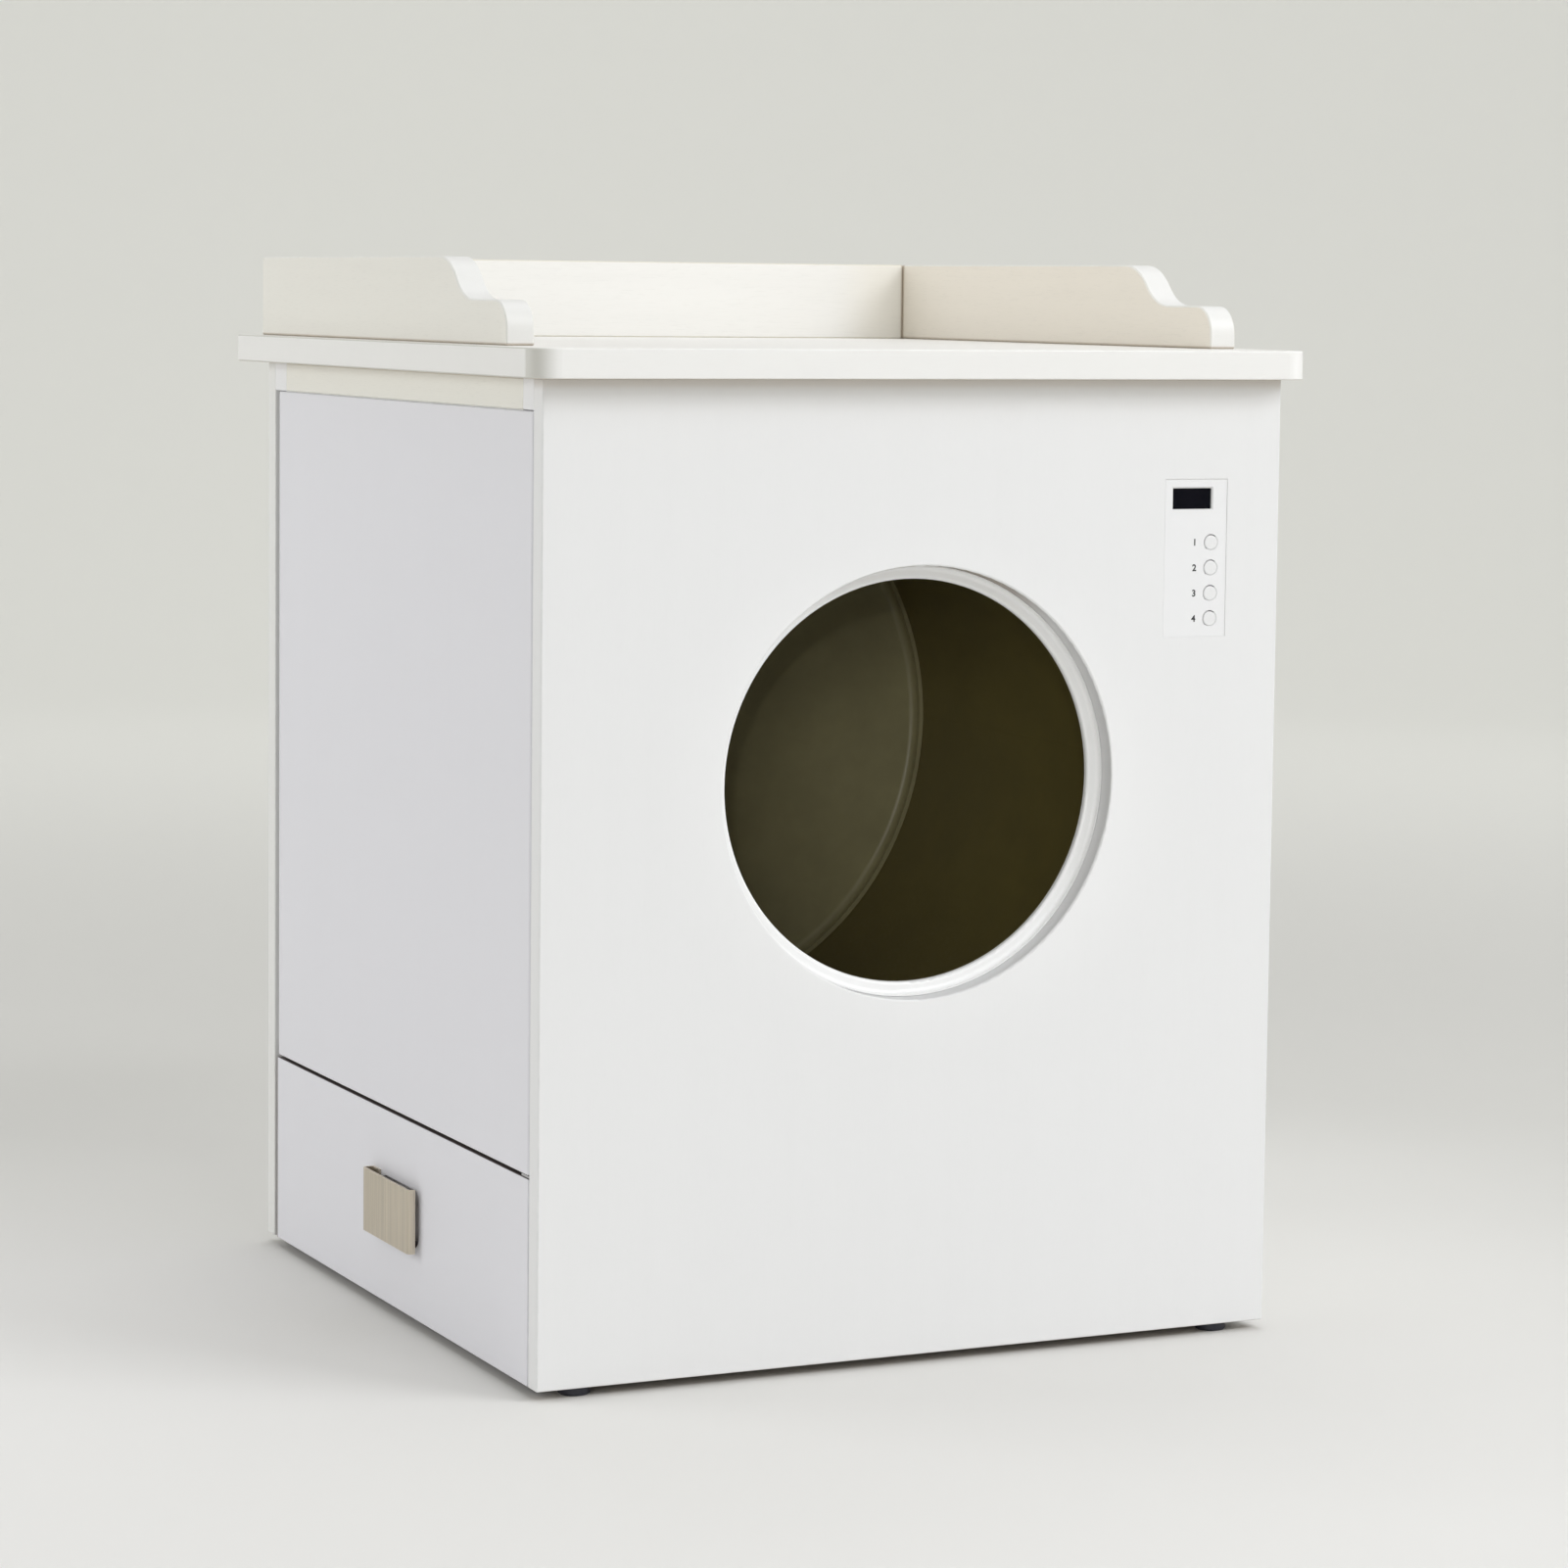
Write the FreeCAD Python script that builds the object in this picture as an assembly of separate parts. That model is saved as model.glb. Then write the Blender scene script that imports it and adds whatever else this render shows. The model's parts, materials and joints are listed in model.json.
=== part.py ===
import FreeCAD, Part
import math
import os

# Self-cleaning litter box in a board cabinet.
# X runs to the right, Y runs from the front to the back, Z runs up.
# The origin is on the floor, under the middle of the top board.
# All sizes are in millimetres and all angles in degrees.

os.makedirs("parts", exist_ok=True)
V = FreeCAD.Vector
X_DIR = V(1, 0, 0)
Y_DIR = V(0, 1, 0)
Z_DIR = V(0, 0, 1)

# Cabinet boards
cabinet_width = 500.0
cabinet_depth = 494.0
panel_height = 600.0
panel_t = 14.0
floor_gap = 6.0
edge_round = 1.0
edge_chamfer = 0.8
joint_gap = 2.0
cutter_over = 1.0
edge_find = 0.01

# Top board and gallery
top_t = 18.0
top_side_overhang = 12.0
top_front_overhang = 17.5
top_rear_overhang = 30.0
top_corner_r = 17.0
gallery_t = 18.0
gallery_back_t = 12.0
gallery_height = 53.0
gallery_shoulder = 27.0
gallery_front_inset = 75.0
gallery_rear_inset = 17.0
gallery_nose_r = 18.0
gallery_flat = 37.5
gallery_sweep = 56.0

# Left side: rail, blocks, door and drawer front
rail_height = 19.0
front_block_length = 17.0
rear_block_length = 22.5
door_top_gap = 0.5
door_front_gap = 1.5
finger_gap = 8.5
drawer_finger_gap = 5.0
drawer_front_height = 125.3
door_drawer_gap = 2.2
shelf_rise = 1.5
door_edge_r = 2.5

# Door pivots and catch
pivot_inset = 4.5
pivot_pin_r = 2.0
pivot_clearance = 0.05
pivot_depth = 14.0
pivot_plate_t = 1.4
pivot_plate_gap = 0.4
pivot_plate_length = 14.0
pivot_leg_height = 32.0
pivot_leg_width = 18.0
pivot_leg_gap = 1.0
pivot_end_gap = 1.0
pin_in_block = 11.0
pivot_screw_drops = (12.8, 25.6)
catch_depth = 28.0
catch_length = 34.0
catch_height = 12.0
catch_from_back = 20.0
catch_gap = 0.3
strike_t = 1.2
strike_length = 26.0
strike_height = 10.0

# Entrance and collar
entrance_r = 132.8
entrance_edge_r = 1.2
collar_gap = 0.3
collar_setback = 15.0
collar_aperture_r = 124.0
collar_cove_r = 3.0
collar_lip_r = 2.0
collar_rim_t = 0.8
collar_flange_r = 150.0
collar_flange_t = 4.0
collar_tube_t = 2.5
collar_tube_length = 1.0
collar_screw_r = 141.0
collar_screw_count = 6

# Drum
drum_top_gap = 45.0
drum_wall = 3.0
drum_floor_gap = 10.0
drum_front_gap = 8.0
motor_space = 80.0
mouth_gap = 3.0
cone_depth = 28.0
cap_spigot_gap = 0.3
cap_spigot_t = 3.0
cap_spigot_length = 6.0
rear_cap_t = 6.0
rear_cap_corner_r = 5.0
hub_r = 30.0
hub_height = 7.0
rib_height = 5.0
rib_t = 3.0
rib_count = 8
track_height = 2.0
track_width = 16.0
front_track_inset = 24.0
rear_track_inset = 36.0
port_angle = 115.0
port_width = 106.0
port_length = 210.0
port_corner_r = 14.0
port_rim_t = 4.0
port_rim_height = 3.0
drum_screw_count = 6
drum_screw_inset = 3.0
drum_screw_angle = 20.0
drum_screw_r = 1.44
drum_screw_head_r = 2.7
drum_screw_head_t = 1.0
drum_screw_end_gap = 0.5
ring_screw_r = 1.5
ring_screw_head_r = 2.8
ring_screw_head_t = 1.6
ring_screw_angle = 8.0
ring_screw_end_gap = 1.0
rib_end_gap = 1.0
rib_sink = 2.0

# Sieve
sieve_start_angle = 212.0
sieve_end_angle = 138.0
sieve_t = 3.0
sieve_gap = 0.3
sieve_flange_angle = 6.0
sieve_flange_t = 2.4
sieve_end_gap = 2.0
slot_width = 9.0
slot_pitch = 14.0
slot_row_count = 3
slot_bar = 8.0
slot_margin = 20.0
sieve_rib_t = 2.4
sieve_rib_height = 5.0

# Ring gear and pinion
ring_gear_inset = 21.0
ring_tooth_count = 90
pinion_tooth_count = 14
pressure_angle = 20.0
pinion_shift = 0.25
ring_addendum = 0.8
pinion_addendum = 0.85
gear_dedendum = 1.15
flank_relief = 0.12
gear_width = 12.0
ring_band = 9.0
pinion_angle = -50.0
pinion_setback = 1.0
motor_shaft_r = 3.0
ring_flank_count = 2
pinion_flank_count = 5

# Rollers, shafts, bushes and cradles
roller_angle = 48.0
roller_r = 15.0
roller_flange_r = 16.4
roller_flange_t = 2.5
roller_track_gap = 0.3
roller_side_gap = 0.6
shaft_r = 4.0
press_gap = 0.02
bush_wall = 2.5
bush_clearance = 0.05
bush_flange_r = 8.5
bush_flange_t = 1.5
cradle_t = 12.0
cradle_gap = 3.0
cradle_boss_r = 12.0
cradle_foot_half = 26.0
cradle_strap_t = 2.5
cradle_strap_width = 20.0
cradle_post_inset = 4.0
shaft_overhang = 2.0

# Gear motor and its bracket
bracket_t = 3.0
bracket_width = 64.0
bracket_foot = 26.0
bracket_gap = 4.0
bracket_top = 26.0
bracket_screw_inset = 10.0
bracket_screw_back = 17.0
gearbox_r = 18.5
gearbox_length = 24.0
gearbox_boss_r = 6.0
gearbox_bore_depth = 16.8
motor_shaft_in = 14.4
motor_r = 17.0
motor_length = 27.0
motor_boss_r = 5.5
motor_boss_length = 3.0

# Drum position sensor
sensor_angle = 238.0
sensor_gap = 4.0
sensor_width = 16.0
sensor_t = 4.0
sensor_foot = 18.0

# Waste chute in the shelf
chute_width = 120.0
chute_length = 222.0
chute_corner_r = 12.0
chute_wall = 2.0
chute_flange = 9.0
chute_drop = 11.0
chute_taper = 6.0
chute_gap = 0.3

# Drawer, bin and runners
drawer_board_t = 12.0
drawer_end_gap = 36.0
drawer_side_gap = 12.5
drawer_side_height = 84.0
drawer_bottom_t = 4.0
drawer_lift = 2.0
bin_wall = 2.0
bin_gap = 2.0
bin_taper = 6.0
bin_height = 86.0
bin_corner_r = 18.0
bin_rim = 5.0
bin_rim_clearance = 1.0
runner_height = 32.0
runner_wall = 1.5
runner_lip = 4.0
runner_gap = 0.3
runner_side_gap = 2.2
runner_z = 54.0
runner_front_inset = 6.0
runner_rear_gap = 6.0
runner_screw_inset = 40.0

# Drawer pull
pull_length = 85.0
pull_height = 41.0
pull_standoff = 8.0
pull_sheet = 1.6
pull_bend_r = 3.5
pull_foot = 12.0
pull_offset = 4.5
pull_rise = 2.0
pull_lip_gap = 3.2
pull_screw_inset = 9.0
recess_depth = 8.0
recess_margin = 2.0
recess_corner_r = 8.0

# Control panel
control_inset = 60.0
control_height = 98.0
control_width = 44.0
control_top_gap = 62.4
control_gap = 0.4
bezel_t = 2.0
bezel_recess = 0.3
window_margin = 3.0
display_width = 27.8
display_height = 13.0
display_shift = -2.4
display_drop = 5.4
display_chamfer = 0.8
display_glass_t = 1.5
display_glass_lap = 1.5
button_r = 4.6
button_well_r = 5.2
button_shift = 11.2
button_first_drop = 39.4
button_pitch = 15.9
button_count = 4
button_cap_t = 3.2
button_stem_r = 2.5
button_edge_r = 0.8
button_travel = 1.2
button_proud = 0.2
button_fit = 0.05
well_wall = 1.2
well_floor_gap = 0.4
well_floor_t = 2.0
switch_size = 6.0
switch_gap = 0.1
board_t = 1.6
board_margin = 2.0
board_part_sink = 0.5
display_part_margin = 1.0
board_y = 12.0
housing_margin = 5.0
housing_depth = 18.0
housing_wall = 2.0
housing_post_r = 2.5
housing_post_inset = 5.0
housing_post_sink = 1.0
presser_inset = 10.0
lead_slot_size = 4.0

# Feet, screws, cams and power inlet
foot_r = 10.0
foot_side_inset = 30.0
foot_end_inset = 14.5
foot_chamfer = 1.2
screw_r = 1.8
screw_head_r = 3.6
screw_head_t = 2.0
screw_length = 9.0
screw_edge_gap = 1.0
panel_screw_r = 2.5
panel_screw_head_r = 4.8
panel_screw_head_t = 3.0
panel_screw_length = 30.0
level_screw_share = 0.7
upright_screw_shares = (0.35, 0.6, 0.85)
cam_r = 7.5
cam_depth = 10.0
cam_inset = 30.0
cam_share = 0.85
inlet_inset = 35.0
inlet_z = 60.0
inlet_r = 5.5
inlet_flange_r = 8.5
inlet_flange_t = 1.6
inlet_bore_r = 2.8
inlet_bore_depth = 10.0
inlet_length = 20.0

# Main places worked out from the sizes
top_depth = top_front_overhang + cabinet_depth + top_rear_overhang
front_y = top_front_overhang - top_depth / 2
inner_front_y = front_y + panel_t
back_y = front_y + cabinet_depth
inner_back_y = back_y - panel_t
side_x = cabinet_width / 2
inner_side_x = side_x - panel_t
board_left_x = -inner_side_x + joint_gap
control_x = side_x - control_inset
display_x = control_x + display_shift
button_x = control_x + button_shift
foot_x = side_x - foot_side_inset
inlet_x = side_x - inlet_inset
panel_top_z = floor_gap + panel_height
bottom_top_z = floor_gap + panel_t
door_bottom_z = floor_gap + drawer_front_height + door_drawer_gap
door_top_z = panel_top_z - rail_height - door_top_gap
door_front_y = inner_front_y + door_front_gap
door_rear_y = inner_back_y - finger_gap
drawer_rear_y = inner_back_y - drawer_finger_gap
shelf_z = door_bottom_z + shelf_rise
shelf_top_z = shelf_z + panel_t
drum_outer_r = (panel_top_z - shelf_top_z - drum_floor_gap - drum_top_gap) / 2
drum_r = drum_outer_r - drum_wall
axis_z = shelf_top_z + drum_floor_gap + drum_outer_r
track_r = drum_outer_r + track_height
mouth_r = collar_aperture_r + collar_tube_t + mouth_gap
mouth_y = inner_front_y + drum_front_gap
shell_front_y = mouth_y + cone_depth
cap_back_y = inner_back_y - motor_space
shell_back_y = cap_back_y - drum_wall
front_track_y = shell_front_y + front_track_inset
rear_track_y = shell_back_y - rear_track_inset
port_mid_y = (front_track_y + rear_track_y) / 2
pull_mid_y = (door_front_y + door_rear_y) / 2 - pull_offset
pull_mid_z = floor_gap + drawer_front_height / 2 + pull_rise
pivot_x = -side_x + pivot_inset
pivot_y = door_front_y + pivot_inset


def box(x0, x1, y0, y1, z0, z1):
    return Part.makeBox(x1 - x0, y1 - y0, z1 - z0, V(x0, y0, z0))


def rod(radius, start, direction, length):
    return Part.makeCylinder(radius, length, start, direction)


def through(radius, x, z, y0, y1):
    """Cutter along Y for a hole from y0 to y1 that runs out past both faces."""
    return rod(radius, V(x, y0 - cutter_over, z), Y_DIR, y1 - y0 + 2 * cutter_over)


def rounded(shape, radius):
    return shape.makeFillet(radius, shape.Edges)


def chamfered(shape, size):
    return shape.makeChamfer(size, shape.Edges)


def joined(shapes):
    return shapes[0].multiFuse(shapes[1:]).removeSplitter()


def trimmed(shape, tools):
    for tool in tools:
        shape = shape.cut(tool)
    return shape


def outline(place, start, steps):
    """Closed face: a step of one point is a line, one of two points is an arc."""
    edges = []
    here = start
    for step in steps:
        if len(step) == 2:
            curve = Part.Arc(place(*here), place(*step[0]), place(*step[1]))
        else:
            curve = Part.LineSegment(place(*here), place(*step[0]))
        edges.append(curve.toShape())
        here = step[-1]
    return Part.Face(Part.Wire(edges))


def corner(centre, radius, angle):
    turn = math.radians(angle)
    return (centre[0] + radius * math.cos(turn), centre[1] + radius * math.sin(turn))


def turned(start, steps, axis_x, axis_height):
    """Body of revolution about an axis along Y, from a section in (radius, y)."""
    face = outline(lambda r, y: V(axis_x + r, y, axis_height), start, steps)
    return face.revolve(V(axis_x, 0, axis_height), Y_DIR, 360)


def rounded_rectangle(x0, x1, y0, y1, radius, z):
    """Wire of a rectangle with round corners, in a level plane."""
    corners = [(x1 - radius, y1 - radius, 0), (x0 + radius, y1 - radius, 90)]
    corners += [(x0 + radius, y0 + radius, 180), (x1 - radius, y0 + radius, 270)]
    edges = []
    for index, (cx, cy, angle) in enumerate(corners):
        arc = [V(*corner((cx, cy), radius, angle + step), z) for step in (0, 45, 90)]
        edges.append(Part.Arc(*arc).toShape())
        nx, ny, next_angle = corners[(index + 1) % len(corners)]
        far = V(*corner((nx, ny), radius, next_angle), z)
        edges.append(Part.LineSegment(arc[2], far).toShape())
    return Part.Wire(edges)


def rounded_block(x0, x1, y0, y1, radius, z0, z1):
    wire = rounded_rectangle(x0, x1, y0, y1, radius, z0)
    return Part.Face(wire).extrude(V(0, 0, z1 - z0))


def tapered_block(x0, x1, y0, y1, radius, z0, z1, taper):
    """Block with round corners that is narrower at its foot by the taper."""
    top = rounded_rectangle(x0, x1, y0, y1, radius, z1)
    foot_corner = max(radius - taper, radius / 2)
    foot = rounded_rectangle(x0 + taper, x1 - taper, y0 + taper, y1 - taper, foot_corner, z0)
    return Part.makeLoft([foot, top], True, True)


def on_drum(angle, radius, y):
    """Point at an angle round the drum's axis, seen from the front."""
    turn = math.radians(angle)
    return V(radius * math.cos(turn), y, axis_z + radius * math.sin(turn))


def radial(angle):
    turn = math.radians(angle)
    return V(math.cos(turn), 0, math.sin(turn))


def wood_screw(seat, direction):
    """Pan-head screw whose head stands on the seat and whose shank goes along direction."""
    back = V(direction).multiply(-screw_head_t)
    head = rod(screw_head_r, seat + back, direction, screw_head_t)
    return joined([head, rod(screw_r, seat, direction, screw_length)])


def panel_screw(seat, direction):
    """Flush screw for board joints, through one board into the edge of the next."""
    head = rod(panel_screw_head_r, seat, direction, panel_screw_head_t)
    return joined([head, rod(panel_screw_r, seat, direction, panel_t + panel_screw_length)])


# Screws and cams come first, because the boards take their holes from them.

def back_panel_screws():
    inward = V(0, -1, 0)
    screws = []
    for z in (floor_gap + panel_t / 2, shelf_z + panel_t / 2):
        for x in (-inner_side_x * level_screw_share, 0, inner_side_x * level_screw_share):
            screws.append(panel_screw(V(x, back_y, z), inward))
    for share in upright_screw_shares:
        z = floor_gap + panel_height * share
        screws.append(panel_screw(V(side_x - panel_t / 2, back_y, z), inward))
    return screws


def cams():
    shapes = []
    for z in (floor_gap, shelf_z):
        for y in (inner_front_y + cam_inset, inner_back_y - cam_inset):
            for x in (-inner_side_x * cam_share, inner_side_x * cam_share):
                shapes.append(rod(cam_r, V(x, y, z), Z_DIR, cam_depth))
    return shapes


def collar_screws():
    seat_y = inner_front_y + collar_flange_t
    shapes = []
    for index in range(collar_screw_count):
        angle = 360.0 / collar_screw_count * (index + 0.5)
        shapes.append(wood_screw(on_drum(angle, collar_screw_r, seat_y), V(0, -1, 0)))
    return shapes


def cradle_screws():
    shapes = []
    for y in (front_cradle_y, rear_cradle_y):
        for side in (-1, 1):
            x = side * (roller_x + cradle_foot_half - screw_head_r - screw_edge_gap)
            for shift in (-1, 1):
                seat_y = y + shift * (cradle_t / 2 + screw_head_r + screw_edge_gap)
                seat = V(x, seat_y, shelf_top_z + cradle_strap_t)
                shapes.append(wood_screw(seat, V(0, 0, -1)))
    return shapes


def runner_screws():
    shapes = []
    z = floor_gap + runner_z
    for x in (runner_x0 + runner_screw_inset, runner_x1 - runner_screw_inset):
        shapes.append(wood_screw(V(x, inner_front_y + runner_wall, z), V(0, -1, 0)))
        shapes.append(wood_screw(V(x, inner_back_y - runner_wall, z), Y_DIR))
    return shapes


def bracket_screws():
    shapes = []
    for side in (-1, 1):
        x = motor_x + side * (bracket_width / 2 - bracket_screw_inset)
        seat = V(x, bracket_back_y + bracket_screw_back, shelf_top_z + bracket_t)
        shapes.append(wood_screw(seat, V(0, 0, -1)))
    return shapes


# Places of the rollers, cradles, runners and motor
roller_distance = track_r + roller_track_gap + roller_r
roller_x = roller_distance * math.sin(math.radians(roller_angle))
roller_z = axis_z - roller_distance * math.cos(math.radians(roller_angle))
roller_half = track_width / 2 + roller_side_gap + roller_flange_t
front_cradle_y = front_track_y - roller_half - cradle_gap - cradle_t / 2
rear_cradle_y = rear_track_y + roller_half + cradle_gap + cradle_t / 2
ring_pitch_r = drum_outer_r - ring_gear_inset
gear_module = 2 * ring_pitch_r / ring_tooth_count
ring_bore_r = ring_pitch_r - gear_module * gear_dedendum - ring_band
gear_distance = gear_module * (ring_tooth_count + pinion_tooth_count) / 2
pinion_pitch_r = gear_module * pinion_tooth_count / 2
motor_x = gear_distance * math.cos(math.radians(pinion_angle))
motor_z = axis_z + gear_distance * math.sin(math.radians(pinion_angle))
ring_gear_back_y = cap_back_y + gear_width
bracket_y = ring_gear_back_y + pinion_setback + bracket_gap
bracket_back_y = bracket_y + bracket_t
runner_x0 = -inner_side_x + runner_front_inset
drawer_back_x = inner_side_x - drawer_end_gap
runner_x1 = drawer_back_x - runner_rear_gap
drawer_z0 = bottom_top_z + drawer_lift
drawer_floor_z = drawer_z0 + drawer_bottom_t
drawer_front_side_y = inner_front_y + drawer_side_gap
drawer_rear_side_y = inner_back_y - drawer_side_gap
control_top_z = panel_top_z - control_top_gap
control_bottom_z = control_top_z - control_height
bezel_y = front_y + bezel_recess


def front_panel():
    shape = rounded(box(-side_x, side_x, front_y, inner_front_y, floor_gap, panel_top_z), edge_round)
    before_y = front_y - cutter_over
    behind_y = inner_front_y + cutter_over
    outer_r = entrance_r + entrance_edge_r
    mouth_mid = corner((outer_r, front_y + entrance_edge_r), -entrance_edge_r, 45)
    hole = turned(
        (0, before_y),
        [[(outer_r, before_y)], [(outer_r, front_y)],
         [mouth_mid, (entrance_r, front_y + entrance_edge_r)],
         [(entrance_r, behind_y)], [(0, behind_y)], [(0, before_y)]],
        0, axis_z)
    half = control_width / 2 + control_gap
    pocket = box(control_x - half, control_x + half, before_y, bezel_y + bezel_t,
                 control_bottom_z - control_gap, control_top_z + control_gap)
    half_window = control_width / 2 - window_margin
    window = box(control_x - half_window, control_x + half_window, front_y, behind_y,
                 control_bottom_z + window_margin, control_top_z - window_margin)
    screws = collar_screws() + runner_screws() + pivot_screws()
    return trimmed(shape, [hole, pocket, window] + screws)


def back_panel():
    shape = rounded(box(-side_x, side_x, inner_back_y, back_y, floor_gap, panel_top_z), edge_round)
    inlet_hole = through(inlet_r + press_gap, inlet_x, inlet_z, inner_back_y, back_y)
    return trimmed(shape, back_panel_screws() + runner_screws() + [inlet_hole])


def right_side_panel():
    shape = box(inner_side_x, side_x, inner_front_y, inner_back_y, floor_gap, panel_top_z)
    return trimmed(shape, back_panel_screws())


def bottom_panel():
    shape = box(board_left_x, inner_side_x, inner_front_y, inner_back_y, floor_gap, bottom_top_z)
    return trimmed(shape, back_panel_screws() + cams())


def chute_hole_block(grow, z0, z1):
    half_x = chute_width / 2 + grow
    half_y = chute_length / 2 + grow
    return rounded_block(-half_x, half_x, port_mid_y - half_y, port_mid_y + half_y,
                         chute_corner_r + grow, z0, z1)


def shelf():
    shape = box(board_left_x, inner_side_x, inner_front_y, inner_back_y, shelf_z, shelf_top_z)
    hole = chute_hole_block(chute_gap, shelf_z - cutter_over, shelf_top_z + cutter_over)
    screws = back_panel_screws() + cams() + cradle_screws() + bracket_screws()
    return trimmed(shape, [hole] + screws)


def left_top_rail():
    y0 = inner_front_y + front_block_length
    y1 = inner_back_y - rear_block_length
    shape = box(-side_x, -inner_side_x, y0, y1, panel_top_z - rail_height, panel_top_z)
    return rounded(shape, edge_round)


def rail_blocks():
    z0 = panel_top_z - rail_height
    front = box(-side_x, -inner_side_x, inner_front_y, inner_front_y + front_block_length, z0, panel_top_z)
    rear = box(-side_x, -inner_side_x, inner_back_y - rear_block_length, inner_back_y, z0, panel_top_z)
    pin_hole = rod(pivot_pin_r + press_gap, V(pivot_x, pivot_y, z0 - cutter_over), Z_DIR,
                   pin_in_block + cutter_over)
    return [rounded(front, edge_round).cut(pin_hole), rounded(rear, edge_round)]


def top_board():
    half_x = side_x + top_side_overhang
    y0 = -top_depth / 2
    y1 = top_depth / 2
    r = top_corner_r
    right = (half_x - r, y0 + r)
    left = (-half_x + r, y0 + r)
    face = outline(
        lambda x, y: V(x, y, panel_top_z),
        (half_x, y1),
        [[(-half_x, y1)], [(-half_x, y0 + r)],
         [corner(left, r, 225), (-half_x + r, y0)], [(half_x - r, y0)],
         [corner(right, r, 315), (half_x, y0 + r)], [(half_x, y1)]])
    return rounded(face.extrude(V(0, 0, top_t)), edge_round)


def gallery_side(x0):
    """Gallery rail with a round nose, a low shoulder and an S-shaped rise."""
    z0 = panel_top_z + top_t
    y0 = -top_depth / 2 + gallery_front_inset
    y1 = top_depth / 2 - gallery_rear_inset
    nose = (y0 + gallery_nose_r, z0 + gallery_shoulder - gallery_nose_r)
    s0 = (y0 + gallery_nose_r + gallery_flat, z0 + gallery_shoulder)
    half_y = gallery_sweep / 2
    half_z = (gallery_height - gallery_shoulder) / 2
    sweep_r = (half_y ** 2 + half_z ** 2) / (2 * half_z)
    half_turn = math.degrees(math.asin(half_y / sweep_r)) / 2
    low_mid = corner((s0[0], s0[1] + sweep_r), sweep_r, -90 + half_turn)
    s1 = (s0[0] + half_y, s0[1] + half_z)
    s2 = (s0[0] + gallery_sweep, z0 + gallery_height)
    high_mid = corner((s2[0], s2[1] - sweep_r), sweep_r, 90 + half_turn)
    face = outline(
        lambda y, z: V(x0, y, z),
        (y0, z0),
        [[(y0, nose[1])], [corner(nose, gallery_nose_r, 135), (nose[0], s0[1])],
         [s0], [low_mid, s1], [high_mid, s2], [(y1, s2[1])], [(y1, z0)], [(y0, z0)]])
    return chamfered(face.extrude(V(gallery_t, 0, 0)), edge_chamfer)


def gallery_back():
    z0 = panel_top_z + top_t
    y1 = top_depth / 2 - gallery_rear_inset
    shape = box(-side_x + gallery_t, side_x - gallery_t, y1 - gallery_back_t, y1, z0, z0 + gallery_height)
    return chamfered(shape, edge_chamfer)


def opening_collar():
    wall_r = entrance_r - collar_gap
    face_y = front_y + collar_setback
    back_face = inner_front_y + collar_flange_t
    cove_r = wall_r - collar_rim_t
    cove = (cove_r - collar_cove_r, face_y - collar_cove_r)
    lip = (collar_aperture_r + collar_lip_r, face_y + collar_lip_r)
    tube_r = collar_aperture_r + collar_tube_t
    tube_y = back_face + collar_tube_length
    shape = turned(
        (wall_r, cove[1]),
        [[(cove_r, cove[1])], [corner(cove, collar_cove_r, 45), (cove[0], face_y)],
         [(lip[0], face_y)], [corner(lip, collar_lip_r, 225), (collar_aperture_r, lip[1])],
         [(collar_aperture_r, tube_y)], [(tube_r, tube_y)], [(tube_r, back_face)],
         [(collar_flange_r, back_face)], [(collar_flange_r, inner_front_y)],
         [(wall_r, inner_front_y)], [(wall_r, cove[1])]],
        0, axis_z)
    return trimmed(shape, collar_screws())


def side_door():
    shape = box(-side_x, -inner_side_x, door_front_y, door_rear_y, door_bottom_z, door_top_z)
    hinge_edge = [e for e in shape.Edges if e.BoundBox.XMax < -side_x + edge_find
                  and e.BoundBox.YMax < door_front_y + edge_find]
    shape = shape.makeFillet(door_edge_r, hinge_edge)
    others = [e for e in shape.Edges if e.BoundBox.YMax > door_rear_y - edge_find]
    shape = shape.makeFillet(edge_round, others)
    bore_r = pivot_pin_r + pivot_clearance
    bore_length = pivot_depth + pivot_end_gap + cutter_over
    top_bore = rod(bore_r, V(pivot_x, pivot_y, door_top_z - pivot_depth - pivot_end_gap), Z_DIR, bore_length)
    low_bore = rod(bore_r, V(pivot_x, pivot_y, door_bottom_z - cutter_over), Z_DIR, bore_length)
    return trimmed(shape, [top_bore, low_bore])


def door_strike_plate():
    y1 = inner_back_y - catch_from_back - (catch_length - strike_length) / 2
    z0 = shelf_top_z + (catch_height - strike_height) / 2
    return box(-inner_side_x, -inner_side_x + strike_t, y1 - strike_length, y1, z0, z0 + strike_height)


def magnetic_catch():
    x0 = -inner_side_x + strike_t + catch_gap
    y1 = inner_back_y - catch_from_back
    shape = box(x0, x0 + catch_depth, y1 - catch_length, y1, shelf_top_z, shelf_top_z + catch_height)
    return chamfered(shape, edge_chamfer)


def door_pivot_pin():
    length = door_top_gap + pivot_depth + pin_in_block
    return rod(pivot_pin_r, V(pivot_x, pivot_y, door_top_z - pivot_depth), Z_DIR, length)


def pivot_screws():
    x = -inner_side_x + pivot_leg_gap + pivot_leg_width / 2
    top = door_bottom_z - pivot_plate_gap
    shapes = []
    for drop in pivot_screw_drops:
        seat = V(x, inner_front_y + pivot_plate_t, top - drop)
        shapes.append(wood_screw(seat, V(0, -1, 0)))
    return shapes


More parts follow.
